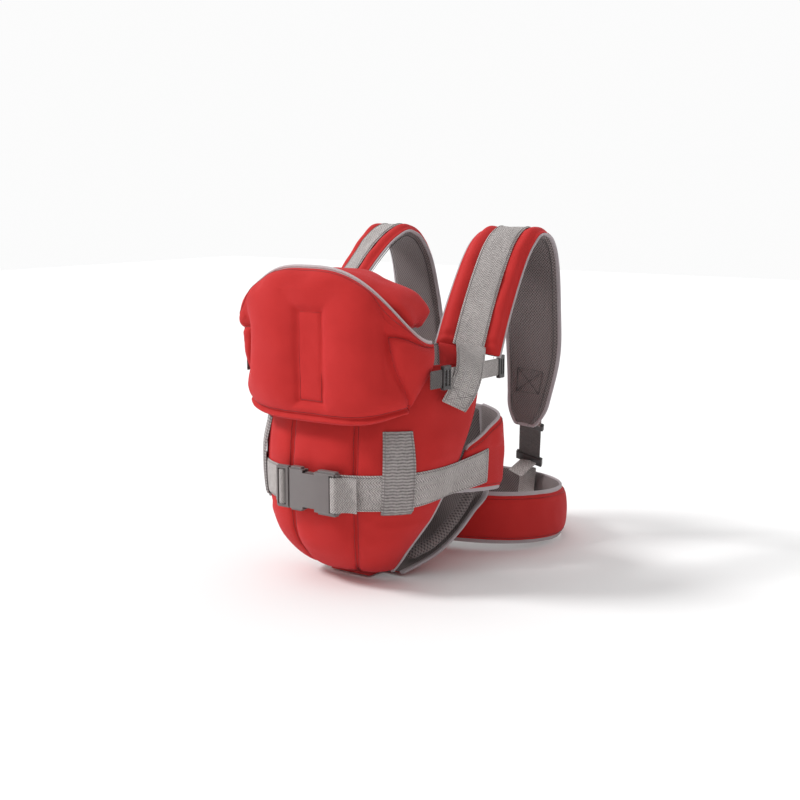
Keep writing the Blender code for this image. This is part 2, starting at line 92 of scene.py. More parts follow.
FRONT_ROWS = [
    ((0.046, 0.0105), (0.066, 0.064, 0.0105)),
    ((0.021, 0.0185), (0.078, 0.067, 0.027)),
    ((-0.002, 0.036), (0.090, 0.071, 0.047)),
    ((-0.022, 0.065), (0.114, 0.084, 0.087)),
    ((-0.030, 0.110), (0.131, 0.090, 0.122)),
    ((-0.031, 0.155), (0.143, 0.103, 0.160)),
    ((-0.029, 0.200), (0.150, 0.120, 0.196)),
    ((-0.024, 0.245), (0.152, 0.142, 0.240)),
    ((-0.019, 0.285), (0.150, 0.156, 0.280)),
    ((-0.014, 0.312), (0.146, 0.164, 0.312)),
]
SEAT_ROWS = [
    ((0.080, 0.006), (0.072, 0.078, 0.0062)),
    ((0.125, 0.015), (0.096, 0.128, 0.028)),
    ((0.165, 0.036), (0.114, 0.156, 0.056)),
    ((0.196, 0.070), (0.124, 0.184, 0.085)),
    ((0.213, 0.105), (0.128, 0.212, 0.106)),
    ((0.224, 0.150), (0.118, 0.230, 0.145)),
    ((0.230, 0.195), (0.108, 0.235, 0.190)),
    ((0.233, 0.235), (0.103, 0.237, 0.230)),
]
HOOD_ROWS = [
    ((-0.043, 0.236), (0.126, 0.010, 0.252)),
    ((-0.046, 0.258), (0.134, 0.017, 0.272)),
    ((-0.047, 0.297), (0.143, 0.024, 0.293)),
    ((-0.047, 0.345), (0.152, 0.030, 0.311)),
    ((-0.048, 0.395), (0.154, 0.034, 0.325)),
    ((-0.046, 0.430), (0.153, 0.036, 0.337)),
    ((-0.042, 0.446), (0.151, 0.038, 0.346)),
]
CROWN_ROWS = [
    ((-0.028, 0.430), (0.124, 0.018, 0.366)),
    ((0.005, 0.431), (0.122, 0.042, 0.370)),
    ((0.042, 0.428), (0.118, 0.066, 0.371)),
    ((0.064, 0.412), (0.111, 0.088, 0.363)),
]
PAD_ROUTE = [
    (0.141, 0.138, 0.327), (0.129, 0.186, 0.385), (0.119, 0.240, 0.446), (0.115, 0.275, 0.475),
    (0.114, 0.305, 0.485), (0.113, 0.336, 0.474), (0.111, 0.358, 0.440), (0.109, 0.372, 0.380),
    (0.105, 0.384, 0.300), (0.099, 0.385, 0.235), (0.095, 0.378, 0.180),
]
PAD_TURN_FRONT = math.radians(36)
PAD_TURN_BACK = math.radians(5)
WING_OUTLINE = [(0.158, 0.164), (0.152, 0.206), (0.104, 0.239)]
ANCHOR_ROUTE = [(0.1580, 0.078, 0.256), (0.1720, 0.081, 0.281), (0.1745, 0.092, 0.308),
                (0.1530, 0.128, 0.336)]
ANCHOR_SIDES = [(0.33, 0.84, -0.43), (0.40, 0.80, -0.42), (0.43, 0.82, -0.34), (0.60, 0.75, -0.20)]
REAR_WEB_TOP = np.array((0.094, 0.3965, 0.198))
REAR_WEB_LOW = np.array((0.047, 0.474, 0.098))
HEAD_WEB_FRONT = np.array((0.1635, 0.050, 0.300))
HEAD_WEB_BACK = np.array((0.1635, 0.200, 0.300))


# ---------------------------------------------------------------- small mathematics

def pair(a, b):
    """Two numbers or arrays as float arrays of one shape."""
    return np.broadcast_arrays(np.asarray(a, float), np.asarray(b, float))


def between(a, b, c, d, f):
    """Catmull-Rom value at f (0 to 1) on the way from b to c."""
    return 0.5 * (2 * b + (c - a) * f + (2 * a - 5 * b + 4 * c - d) * f ** 2
                  + (3 * b - a - 3 * c + d) * f ** 3)


def spline(points, t):
    """Points at t (0 to 1, any array) on a Catmull-Rom curve."""
    p = np.asarray(points, float)
    t = np.clip(np.asarray(t, float), 0, 1)
    spans = len(p) - 1
    i = np.minimum((t * spans).astype(int), spans - 1)
    f = (t * spans - i)[..., None]
    ends = np.vstack([2 * p[0] - p[1], p, 2 * p[-1] - p[-2]])
    return between(ends[i], ends[i + 1], ends[i + 2], ends[i + 3], f)


def bisect(below, low, high):
    """Where below(place) stops being true between low and high, for whole arrays."""
    for _ in range(BISECTIONS):
        middle = (low + high) / 2
        under = below(middle)
        low, high = np.where(under, middle, low), np.where(under, high, middle)
    return low


def distances(path):
    """Distance along a path to each of its points."""
    return np.concatenate([[0], np.cumsum(np.linalg.norm(np.diff(path, axis=0), axis=-1))])


def unit(v):
    return v / np.maximum(np.linalg.norm(v, axis=-1, keepdims=True), 1e-12)


def smooth(x, low, high):
    """0 below low, 1 above high, eased between."""
    q = np.clip((x - low) / (high - low), 0, 1)
    return q * q * (3 - 2 * q)


def ridge(d, width):
    """1 at d = 0, falling to 0 over about a width."""
    return np.exp(-(d / width) ** 2)


def ripple(points, size, seed):
    """Smooth noise, about -1 to 1, whose humps are about size across."""
    rng = np.random.default_rng(seed)
    waves = unit(rng.normal(size=(7, 3))) * (2 * math.pi / size) * rng.uniform(0.7, 1.4, (7, 1))
    phases = rng.uniform(0, 2 * math.pi, 7)
    return np.sin(points @ waves.T + phases).sum(-1) / 3.2


def lofted(rows, squareness, z_power):
    centres = [row[0] for row in rows]
    edges = [row[1] for row in rows]

    def surface(u, v):
        u, v = pair(u, v)
        centre, edge = spline(centres, v), spline(edges, v)
        n = squareness[0] + (squareness[1] - squareness[0]) * v
        rise = z_power[0] + (z_power[1] - z_power[0]) * v
        angle = np.abs(u) * math.pi / 2
        size = (np.sin(angle) ** n + np.clip(np.cos(angle), 0, None) ** n) ** (1 / n)
        across = np.sin(angle) / size
        back = 1 - np.cos(angle) / size
        return np.stack([
            np.sign(u) * edge[..., 0] * across,
            centre[..., 0] + (edge[..., 1] - centre[..., 0]) * back,
            centre[..., 1] + (edge[..., 2] - centre[..., 1]) * across ** rise,
        ], -1)

    return surface


front_surface = lofted(FRONT_ROWS, (3.0, 2.2), (3.0, 2.0))
hood_loft = lofted(HOOD_ROWS, (2.4, 2.4), (5.0, 2.9))
crown_surface = lofted(CROWN_ROWS, (2.3, 2.7), (2.8, 3.2))


def seat_patch(s, t):
    u, v = pair(2 * s - 1, t)
    centre = spline([row[0] for row in SEAT_ROWS], v)
    edge = spline([row[1] for row in SEAT_ROWS], v)
    return np.stack([
        edge[..., 0] * u,
        centre[..., 0] + (edge[..., 1] - centre[..., 0]) * u ** 2,
        centre[..., 1] + (edge[..., 2] - centre[..., 1]) * u ** 2,
    ], -1)


def front_at(u, z):
    """Points of the front panel's middle surface at u and height z."""
    u, z = pair(u, z)
    v = bisect(lambda middle: front_surface(u, middle)[..., 2] < z, np.zeros(u.shape), np.ones(u.shape))
    return front_surface(u, v)


def wing_at(s, z):
    """Points of the right wing's middle surface, s from the front panel's edge to the back."""
    s, z = pair(s, z)
    start = front_at(np.ones(s.shape), z)[..., :2] + (0.001, 0.0055)
    p = np.stack([start] + [np.broadcast_to(q, start.shape) for q in WING_OUTLINE])
    ends = np.concatenate([[2 * p[0] - p[1]], p, [2 * p[-1] - p[-2]]])
    spans = len(p) - 1
    s = np.clip(s, 0, 1)
    i = np.minimum((s * spans).astype(int), spans - 1)
    f = (s * spans - i)[..., None]
    corners = (np.take_along_axis(ends, (i + k)[None, ..., None], 0)[0] for k in range(4))
    xy = between(*corners, f)
    return np.concatenate([xy, z[..., None]], -1)


def ticks(count, marks=(), reach=0.006):
    """Even steps from 0 to 1, with three extra ones around each mark."""
    steps = list(np.linspace(0, 1, count + 1))
    for mark in marks:
        steps = [x for x in steps if abs(x - mark) > reach * 1.6]
        steps += [mark - reach, mark, mark + reach]
    return np.array(sorted(x for x in steps if 0 <= x <= 1))


# ---------------------------------------------------------------- meshes

class Sheet:
    """A grid on a surface of (s, t), with its normals and the distances along it in metres."""

    def __init__(self, surface, s, t, ring=False):
        self.s, self.t, self.ring = s, t, ring
        self.S, self.T = S, T = np.meshgrid(s, t, indexing="ij")
        self.P = surface(S, T)
        e = 1e-4
        s_low, s_high = (S - e, S + e) if ring else (np.maximum(S - e, 0), np.minimum(S + e, 1))
        along = surface(s_high, T) - surface(s_low, T)
        up = surface(S, np.minimum(T + e, 1)) - surface(S, np.maximum(T - e, 0))
        self.N = unit(np.cross(along, up))
        zero_s, zero_t = np.zeros((1, len(t))), np.zeros((len(s), 1))
        self.left = np.vstack([zero_s, np.cumsum(np.linalg.norm(np.diff(self.P, axis=0), axis=-1), 0)])
        self.bottom = np.hstack([zero_t, np.cumsum(np.linalg.norm(np.diff(self.P, axis=1), axis=-1), 1)])
        self.right = self.left[-1:] - self.left
        self.top = self.bottom[:, -1:] - self.bottom
        ends = [self.bottom, self.top] if ring else [self.left, self.right, self.bottom, self.top]
        self.border = np.minimum.reduce(ends)
        self.width = float(self.left[-1].max())
        self.length = float(self.bottom[:, -1].max())

    def at(self, offset):
        return self.P + self.N * np.asarray(offset)[..., None]

    def sides_round(self, radius):
        """0 at the left and right edges, 1 beyond a radius from them."""
        return edge_round(np.minimum(self.left, self.right), 0, radius)

    def area(self):
        a = np.diff(self.P, axis=0)[:, :-1]
        b = np.diff(self.P, axis=1)[:-1]
        return float(np.linalg.norm(np.cross(a, b), axis=-1).sum())


def edge_round(d, margin, radius):
    q = np.clip((d - margin) / radius, 0, 1)
    return np.sqrt(1 - (1 - q) ** 2)


made = {}


def mesh_object(name, verts, faces, loop_uv, material, smooth_deg=50, subdivide=0):
    verts = np.array(verts, float)
    verts[:, 1] -= ORIGIN_Y
    mesh = bpy.data.meshes.new(name)
    mesh.from_pydata(verts.tolist(), [], [list(map(int, f)) for f in faces])
    if loop_uv is not None:
        layer = mesh.uv_layers.new(name="Weave")
        layer.data.foreach_set("uv", np.asarray(loop_uv, np.float32).ravel())
    shape = bmesh.new()
    shape.from_mesh(mesh)
    bmesh.ops.recalc_face_normals(shape, faces=shape.faces)
    shape.to_mesh(mesh)
    shape.free()
    mesh.shade_smooth()
    if smooth_deg < 180 and not subdivide:
        mesh.set_sharp_from_angle(angle=math.radians(smooth_deg))
    mesh.materials.append(material)
    item = bpy.data.objects.new(name, mesh)
    bpy.context.scene.collection.objects.link(item)
    if subdivide:
        level = item.modifiers.new("smooth", "SUBSURF")
        level.levels = level.render_levels = subdivide
    made[name] = item
    return item


def closed_grid(name, outer, inner, sheet, material, subdivide=1):
    """Closed mesh between two layers of points of one sheet."""
    n, m = outer.shape[:2]
    count = n - 1 if sheet.ring else n
    layer = count * m
    verts = np.concatenate([outer[:count].reshape(-1, 3), inner[:count].reshape(-1, 3)])
    mid = n // 2
    U = sheet.left[:, m // 2][:, None] + np.zeros((1, m))
    V = sheet.bottom[mid][None, :] + np.zeros((n, 1))
    faces, uv = [], []

    def add(*corners):
        faces.append([side * layer + (i % count if sheet.ring else i) * m + j for side, i, j in corners])
        uv.extend([U[i, j], V[i, j]] for side, i, j in corners)

    for i in range(n - 1):
        for j in range(m - 1):
            add((0, i, j), (0, i + 1, j), (0, i + 1, j + 1), (0, i, j + 1))
            add((1, i, j), (1, i, j + 1), (1, i + 1, j + 1), (1, i + 1, j))
        add((0, i, 0), (1, i, 0), (1, i + 1, 0), (0, i + 1, 0))
        add((0, i, m - 1), (0, i + 1, m - 1), (1, i + 1, m - 1), (1, i, m - 1))
    if not sheet.ring:
        for j in range(m - 1):
            add((0, 0, j), (0, 0, j + 1), (1, 0, j + 1), (1, 0, j))
            add((0, n - 1, j), (1, n - 1, j), (1, n - 1, j + 1), (0, n - 1, j + 1))
    return mesh_object(name, verts, faces, uv, material, subdivide=subdivide)


CLOTH_FRAMES = 20
CLOTH_SETTINGS = {
    "quality": 5, "mass": 0.25, "tension_stiffness": 12, "compression_stiffness": 12,
    "shear_stiffness": 5, "bending_stiffness": 0.3, "vertex_group_mass": "held",
    "pin_stiffness": 1, "use_pressure": True,
}


def layered(name, sheet, top, low, material, subdivide=1):
    """Closed mesh between two offsets from a sheet."""
    return closed_grid(name, sheet.at(top), sheet.at(low), sheet, material, subdivide)


def inflate(points, held, pressure, slack, cap, ring=False):
    """The points after a short cloth simulation under inner pressure; held points stay."""
    n, m = points.shape[:2]
    count = n - 1 if ring else n
    index = np.arange(count * m).reshape(count, m)
    faces = []
    for i in range(n - 1):
        a, b = index[i], index[(i + 1) % count]
        faces += [[int(a[j]), int(b[j]), int(b[j + 1]), int(a[j + 1])] for j in range(m - 1)]
    flat = points[:count].reshape(-1, 3)
    mesh = bpy.data.meshes.new("swell")
    mesh.from_pydata(flat.tolist(), [], faces)
    item = bpy.data.objects.new("swell", mesh)
    scene = bpy.context.scene
    scene.collection.objects.link(item)
    group = item.vertex_groups.new(name="held")
    group.add([int(k) for k in np.flatnonzero(held[:count].ravel())], 1.0, "REPLACE")
    cloth = item.modifiers.new("cloth", "CLOTH")
    cloth.point_cache.frame_start = 1
    cloth.point_cache.frame_end = CLOTH_FRAMES
    settings = cloth.settings
    for key, value in CLOTH_SETTINGS.items():
        setattr(settings, key, value)
    settings.uniform_pressure_force = pressure
    settings.shrink_min = -slack
    settings.effector_weights.gravity = 0
    for number in range(1, CLOTH_FRAMES + 1):
        scene.frame_set(number)
    shown = item.evaluated_get(bpy.context.evaluated_depsgraph_get())
    result = np.zeros(len(flat) * 3)
    shown.data.vertices.foreach_get("co", result)
    result = result.reshape(-1, 3)
    bpy.data.objects.remove(item, do_unlink=True)
    scene.frame_set(1)
    move = (result - flat).reshape(count, m, 3)
    for _ in range(6):
        move[1:-1, 1:-1] = (move[1:-1, 1:-1] * 2 + move[:-2, 1:-1] + move[2:, 1:-1]
                            + move[1:-1, :-2] + move[1:-1, 2:]) / 6
    far = np.linalg.norm(move, axis=-1, keepdims=True)
    move *= cap / (cap + far)
    moved = flat.reshape(count, m, 3) + move
    return np.concatenate([moved, moved[:1]]) if ring else moved


def sweep(name, path, side, up, profile, material, subdivide=0, closed=False):
    """Closed bar: the profile's (side, up) points carried along a path; it may be one profile per point."""
    path, side, up = np.asarray(path, float), unit(np.asarray(side, float)), unit(np.asarray(up, float))
    n = len(path)
    profiles = np.asarray(profile, float)
    if profiles.ndim == 2:
        profiles = np.broadcast_to(profiles, (n,) + profiles.shape)
    m = profiles.shape[1]
    verts = path[:, None] + side[:, None] * profiles[..., :1] + up[:, None] * profiles[..., 1:]
    steps = distances(path)
    around = distances(np.vstack([profiles[0], profiles[0][:1]]))
    if closed:
        steps = np.append(steps, steps[-1] + np.linalg.norm(path[0] - path[-1]))
    faces, uv = [], []
    for i in range(n if closed else n - 1):
        for k in range(m):
            q, j = (k + 1) % m, (i + 1) % n
            faces.append([i * m + k, i * m + q, j * m + q, j * m + k])
            uv += [(around[k], steps[i]), (around[k + 1], steps[i]),
                   (around[k + 1], steps[i + 1]), (around[k], steps[i + 1])]
    if not closed:
        for i, order in ((0, -1), (n - 1, 1)):
            faces.append([i * m + k for k in range(m)][::order])
            uv += [(float(a), float(b)) for a, b in profiles[i]][::order]
    return mesh_object(name, verts.reshape(-1, 3), faces, uv, material, subdivide=subdivide)


def oval(width, height, count=12, power=2.0):
    a = np.linspace(0, 2 * math.pi, count, endpoint=False)
    c, s = np.cos(a), np.sin(a)
    return np.stack([width / 2 * np.sign(c) * np.abs(c) ** (2 / power),
                     height / 2 * np.sign(s) * np.abs(s) ** (2 / power)], -1)


def resample(path, step):
    path = np.asarray(path, float)
    lengths = distances(path)
    count = max(2, int(round(lengths[-1] / step)) + 1)
    where = np.linspace(0, lengths[-1], count)
    return np.stack([np.interp(where, lengths, path[:, k]) for k in range(path.shape[1])], -1)


STITCH_PITCH = 0.0036
STITCH_LENGTH = 0.0026


def stitches(name, lines, material, width=0.0007, height=0.0006):
    """Rows of sewn thread. Each line is (points, outward normals)."""
    verts, faces = [], []
    for points, normals in lines:
        data = resample(np.hstack([points, normals]), STITCH_PITCH)
        p, normal = data[:, :3], unit(data[:, 3:])
        middle = (p[1:] + p[:-1]) / 2
        ahead = unit(p[1:] - p[:-1])
        normal = unit(normal[1:] + normal[:-1])
        across = np.cross(ahead, normal)
        for c, a, x, u in zip(middle, ahead, across, normal):
            start = len(verts)
            half = a * STITCH_LENGTH / 2
            verts += [c - half - u * height * 0.3, c + x * width / 2, c + u * height,
                      c - x * width / 2, c - u * height * 0.5, c + half - u * height * 0.3]
            for k in range(4):
                q = 1 + (k + 1) % 4
                faces += [[start, start + q, start + 1 + k], [start + 5, start + 1 + k, start + q]]
    return mesh_object(name, verts, faces, None, material, 180)


def mirror(item, name):
    """The left twin of a right piece."""
    mesh = item.data.copy()
    co = np.zeros(len(mesh.vertices) * 3, np.float32)
    mesh.vertices.foreach_get("co", co)
    co = co.reshape(-1, 3)
    co[:, 0] *= -1
    mesh.vertices.foreach_set("co", co.ravel())
    mesh.flip_normals()
    mesh.name = name
    twin = bpy.data.objects.new(name, mesh)
    bpy.context.scene.collection.objects.link(twin)
    for modifier in item.modifiers:
        copy = twin.modifiers.new(modifier.name, modifier.type)
        if modifier.type == "SUBSURF":
            copy.levels = copy.render_levels = modifier.render_levels
    made[name] = twin
    return twin


def on_layer(sheet, layer, s, t):
    """Points and normals of a finished layer at (s, t), read between its grid points."""
    s, t = pair(s, t)
    i = np.interp(s, sheet.s, np.arange(len(sheet.s)))
    j = np.interp(t, sheet.t, np.arange(len(sheet.t)))
    i0, j0 = np.minimum(i.astype(int), len(sheet.s) - 2), np.minimum(j.astype(int), len(sheet.t) - 2)
    f, g = (i - i0)[..., None], (j - j0)[..., None]
    along = np.gradient(layer, axis=0)
    up = np.gradient(layer, axis=1)
    normals = unit(np.cross(along, up))

    def read(a):
        return ((1 - f) * (1 - g) * a[i0, j0] + f * (1 - g) * a[i0 + 1, j0]
                + (1 - f) * g * a[i0, j0 + 1] + f * g * a[i0 + 1, j0 + 1])

    return read(layer), unit(read(normals))


def tape_on_edge(name, sheet, edge, material, reach=0.0062, half=0.0021, part=(0, 1), lift=0.0):
    """Bias binding folded over one edge of a sheet: "left", "right", "bottom" or "top"."""
    level = edge in ("bottom", "top")
    last, inner = (0, 1) if edge in ("left", "bottom") else (-1, -2)
    points, normals = (sheet.P.swapaxes(0, 1), sheet.N.swapaxes(0, 1)) if level else (sheet.P, sheet.N)
    path, before, normal = points[last], points[inner], normals[last]
    steps = sheet.s if level else sheet.t
    keep = (steps >= part[0] - 1e-9) & (steps <= part[1] + 1e-9)
    out = unit(path - before)
    data = resample(np.hstack([path + normal * lift, out, normal])[keep], 0.003)
    low_side = [(-reach, -half * 0.9), (-reach * 0.4, -half), (0.0004, -half * 0.95),
                (0.0018, -half * 0.45)]
    high_side = [(across, -up) for across, up in reversed(low_side)]
    profile = np.array(low_side + [(0.0021, 0.0)] + high_side + [(-reach - 0.0003, 0.0)])
    closed = sheet.ring and level
    if closed:
        data = data[:-1]
    return sweep(name, data[:, :3], data[:, 3:6], data[:, 6:9], profile, material, closed=closed)


# ---------------------------------------------------------------- materials

def node(tree, kind, inputs=None, **settings):
    item = tree.nodes.new(kind)
    for key, value in settings.items():
        setattr(item, key, value)
    for key, value in (inputs or {}).items():
        if isinstance(value, bpy.types.NodeSocket):
            tree.links.new(value, item.inputs[key])
        else:
            item.inputs[key].default_value = value
    return item


def calc(tree, operation, a, b=0.0, c=0.0):
    return node(tree, "ShaderNodeMath", {0: a, 1: b, 2: c}, operation=operation).outputs[0]


def mul(tree, a, b):
    return calc(tree, "MULTIPLY", a, b)


def mul_add(tree, a, b, c):
    return calc(tree, "MULTIPLY_ADD", a, b, c)


def shaded(colour, factor):
    return tuple(x * factor for x in colour)


def start_material(name, roughness, specular=0.3, sheen=0.0, sheen_tint=(1, 1, 1), sheen_roughness=0.5):
    material = bpy.data.materials.new(name)
    material.use_nodes = True
    tree = material.node_tree
    shader = tree.nodes["Principled BSDF"]
    values = {"Roughness": roughness, "Specular IOR Level": specular, "Sheen Weight": sheen,
              "Sheen Roughness": sheen_roughness, "Sheen Tint": (*sheen_tint, 1)}
    for key, value in values.items():
        shader.inputs[key].default_value = value
    return material, tree, shader


def weave_uv(tree, swap=False):
    uv = node(tree, "ShaderNodeUVMap", uv_map="Weave").outputs[0]
    parts = node(tree, "ShaderNodeSeparateXYZ", {0: uv}).outputs
    return (parts[1], parts[0]) if swap else (parts[0], parts[1])


def wave(tree, value, pitch):
    """Sine of a length in metres, -1 to 1."""
    return calc(tree, "SINE", mul(tree, value, 2 * math.pi / pitch))


def mix_colour(tree, factor, a, b):
    item = node(tree, "ShaderNodeMix", data_type="RGBA")
    tree.links.new(factor, item.inputs["Factor"])
    for key, value in (("A", a), ("B", b)):
        sockets = [x for x in item.inputs if x.name == key and x.type == "RGBA"]
        if isinstance(value, bpy.types.NodeSocket):
            tree.links.new(value, sockets[0])
        else:
            sockets[0].default_value = (*value, 1)
    return [x for x in item.outputs if x.type == "RGBA"][0]


def coloured(tree, shader, factor, a, b):
    tree.links.new(mix_colour(tree, factor, a, b), shader.inputs["Base Color"])


def noise(tree, scale, detail):
    where = node(tree, "ShaderNodeTexCoord").outputs["Object"]
    inputs = {"Vector": where, "Scale": scale, "Detail": detail}
    return node(tree, "ShaderNodeTexNoise", inputs).outputs["Fac"]


def ranged(tree, value, low, high, to_low=0.0, to_high=1.0):
    inputs = {"Value": value, "From Min": low, "From Max": high, "To Min": to_low, "To Max": to_high}
    return node(tree, "ShaderNodeMapRange", inputs).outputs[0]


def bumped(tree, shader, height, distance, strength=1.0):
    bump = node(tree, "ShaderNodeBump", {"Height": height, "Distance": distance, "Strength": strength})
    tree.links.new(bump.outputs[0], shader.inputs["Normal"])


FABRIC_THREAD = 0.0013
WEBBING_COLUMN = 0.0062
MESH_PITCH = 0.0044


def brushed_fabric(name, colour, deep):
    material, tree, shader = start_material(name, 0.80, 0.16, 0.16, (1.0, 0.26, 0.36), 0.45)
    u, v = weave_uv(tree)
    along = wave(tree, u, FABRIC_THREAD)
    knit = mul(tree, along, wave(tree, mul_add(tree, u, 0.5, v), FABRIC_THREAD))
    cloudy = noise(tree, 22.0, 4.0)
    fibre = noise(tree, 900.0, 2.0)
    shade = mul_add(tree, cloudy, 0.55, mul(tree, fibre, 0.25))
    shade = mul_add(tree, knit, 0.05, shade)
    coloured(tree, shader, shade, colour, deep)
    height = mul_add(tree, knit, 0.5, mul(tree, fibre, 1.2))
    bumped(tree, shader, height, 0.00016)
    tree.links.new(mul_add(tree, cloudy, 0.16, 0.68), shader.inputs["Roughness"])
    return material


def webbing_fabric(name, light, dark, swap=False, pitch=0.0036, slope=1.0):
    """Herringbone webbing: ribs that slant one way and then the other in columns along it."""
    material, tree, shader = start_material(name, 0.62, 0.35, 0.15, (1, 1, 1), 0.4)
    u, v = weave_uv(tree, swap)
    slant = mul(tree, calc(tree, "PINGPONG", u, WEBBING_COLUMN), slope)
    ribs = wave(tree, calc(tree, "ADD", v, slant), pitch)
    threads = wave(tree, u, 0.0011)
    speckle = noise(tree, 330.0, 2.0)
    cloudy = noise(tree, 30.0, 3.0)
    shade = mul_add(tree, ribs, 0.34, 0.30)
    shade = mul_add(tree, speckle, 0.70, shade)
    shade = mul_add(tree, cloudy, 0.40, shade)
    shade = calc(tree, "SUBTRACT", shade, 0.34)
    shade = mul_add(tree, threads, 0.05, shade)
    clamped = node(tree, "ShaderNodeClamp", {0: shade}).outputs[0]
    coloured(tree, shader, clamped, light, dark)
    height = mul_add(tree, threads, 0.35, mul(tree, ribs, -0.6))
    bumped(tree, shader, mul_add(tree, speckle, 0.5, height), 0.0005)
    return material


def spacer_mesh(name, colour, hole):
    """Knitted mesh: staggered dark holes between raised threads."""
    material, tree, shader = start_material(name, 0.72, 0.3, 0.25, (1, 0.96, 0.96), 0.4)
    u, v = weave_uv(tree)
    one = wave(tree, u, MESH_PITCH)
    two = wave(tree, v, MESH_PITCH * 1.15)
    mask = ranged(tree, mul(tree, one, two), -0.15, 0.55)
    cloudy = noise(tree, 26.0, 3.0)
    fibre = noise(tree, 700.0, 2.0)
    base = mix_colour(tree, mul_add(tree, cloudy, 0.5, mul(tree, fibre, 0.3)),
                      shaded(colour, 1.25), shaded(colour, 0.7))
    coloured(tree, shader, mask, base, hole)
    bumped(tree, shader, mul_add(tree, fibre, 0.3, mul(tree, mask, -1.0)), 0.0005)
    return material


def ribbed_tape(name, colour, deep, pitch=0.0016):
    material, tree, shader = start_material(name, 0.66, 0.3, 0.2, (1, 1, 1), 0.4)
    u, v = weave_uv(tree)
    ribs = wave(tree, v, pitch)
    fibre = noise(tree, 600.0, 2.0)
    shade = mul_add(tree, ribs, 0.18, mul_add(tree, fibre, 0.5, 0.05))
    clamped = node(tree, "ShaderNodeClamp", {0: shade}).outputs[0]
    coloured(tree, shader, clamped, colour, deep)
    bumped(tree, shader, mul_add(tree, fibre, 0.6, ribs), 0.00018)
    return material


def moulded_plastic(name, colour, edge_highlight, roughness):
    material, tree, shader = start_material(name, roughness, 0.5)
    grain = noise(tree, 1800.0, 2.0)
    cloudy = noise(tree, 60.0, 4.0)
    geometry = node(tree, "ShaderNodeNewGeometry")
    # Painted highlight: the colour turns lighter along the sharp, pointy edges.
    edges = ranged(tree, geometry.outputs["Pointiness"], 0.52, 0.62)
    base = mix_colour(tree, mul(tree, cloudy, 0.6), colour, shaded(colour, 0.72))
    coloured(tree, shader, mul(tree, edges, 0.5), base, edge_highlight)
    tree.links.new(mul_add(tree, cloudy, 0.18, roughness - 0.08), shader.inputs["Roughness"])
    bumped(tree, shader, grain, 0.00012, 0.7)
    return material


def thread(name, colour):
    material, tree, shader = start_material(name, 0.55, 0.35, 0.2)
    twist = noise(tree, 1500.0, 1.0)
    coloured(tree, shader, twist, colour, shaded(colour, 0.6))
    return material


KEEPER_RIB = 0.0042
red = brushed_fabric("red_fabric", (0.60, 0.030, 0.027), (0.40, 0.019, 0.018))
web = webbing_fabric("grey_webbing", (0.72, 0.67, 0.65), (0.17, 0.15, 0.145))
web_long = webbing_fabric("grey_webbing_lengthwise", (0.76, 0.70, 0.68), (0.18, 0.158, 0.152), swap=True)
web_keeper = webbing_fabric("grey_webbing_keeper", (0.56, 0.51, 0.50), (0.13, 0.115, 0.112),
                            pitch=KEEPER_RIB, slope=0.12)
web_loop = webbing_fabric("grey_webbing_loop", (0.66, 0.61, 0.59), (0.17, 0.15, 0.145))
# Painted shade: a much darker copy of the grey webbing, standing in for the shade on the rear harness webbing
# and the head strap tabs.
shaded_web = webbing_fabric("webbing_painted_shade", (0.17, 0.145, 0.14), (0.06, 0.052, 0.052))
mesh_cloth = spacer_mesh("spacer_mesh", (0.215, 0.176, 0.173), (0.075, 0.060, 0.061))
tape = ribbed_tape("binding_tape", (0.52, 0.46, 0.48), (0.30, 0.26, 0.27))
piping_cloth = ribbed_tape("piping_tape", (0.60, 0.52, 0.53), (0.40, 0.33, 0.34), 0.0022)
# The third colour of each plastic is its painted edge highlight.
buckle_plastic = moulded_plastic("buckle_plastic", (0.150, 0.128, 0.126), (0.24, 0.22, 0.22), 0.40)
black_plastic = moulded_plastic("black_plastic", (0.045, 0.040, 0.041), (0.075, 0.07, 0.07), 0.36)
red_thread = thread("red_thread", (0.26, 0.008, 0.012))
grey_thread = thread("grey_thread", (0.25, 0.22, 0.22))
dark_thread = thread("dark_thread", (0.040, 0.032, 0.032))


# ---------------------------------------------------------------- pouch

def seam_split(surface, at_x):
    """The (u, v) surface over s 0 to 1, whose two lines s = SEAM_S run where X is at_x."""
    first, second = SEAM_S

    def find(x, v):
        return bisect(lambda u: surface(u, v)[..., 0] < x, np.full(v.shape, -1.0), np.ones(v.shape))

    def split(s, v):
        s, v = pair(s, v)
        u1, u2 = find(at_x[0](v), v), find(at_x[1](v), v)
        middle = u1 + (u2 - u1) * (s - first) / 0.30
        beyond = u2 + (1 - u2) * (s - second) / first
        return surface(np.where(s < first, -1 + (u1 + 1) * s / first,
                                np.where(s < second, middle, beyond)), v)

    return split


def webbing_height(u):
    """Height of the waist webbing's middle line over the front panel at u."""
    s = np.clip((np.abs(u) - 0.20) / 0.80, 0, 1) * WEB_SPLIT
    return BUCKLE_Z + RISE * s ** 1.5


def thin_edge(sheet, half, margin, radius):
    """Half the thickness of a pad that thins out to its sewn edge."""
    return EDGE_HALF + (half - EDGE_HALF) * edge_round(sheet.border, margin, radius)


def lining_of(name, surface, s, t, low, edge, outside=False):
    """Mesh lining that follows a padded piece's inner side, with the sheet it is cut from."""
    sheet = Sheet(surface, s, t, outside)
    margin, radius = edge
    back = thin_edge(sheet, low, margin, radius) + GAP
    back = back + 0.0006 * ripple(sheet.P, 0.05, 31) * edge_round(sheet.border, margin, radius)
    far = back + 0.0012 + 0.0008 * edge_round(sheet.border, 0, radius)
    layers = (far, back) if outside else (-back, -far)
    return layered(name, sheet, *layers, mesh_cloth), sheet


def dress(item, stands_for=None, sheet=None):
    """Hide the CAD node that a piece stands for."""
    if stands_for:
        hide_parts(stands_for)
    if sheet is not None:
        flat = (sheet.width, sheet.length)
        min(sheet.area(), flat[0] * flat[1])


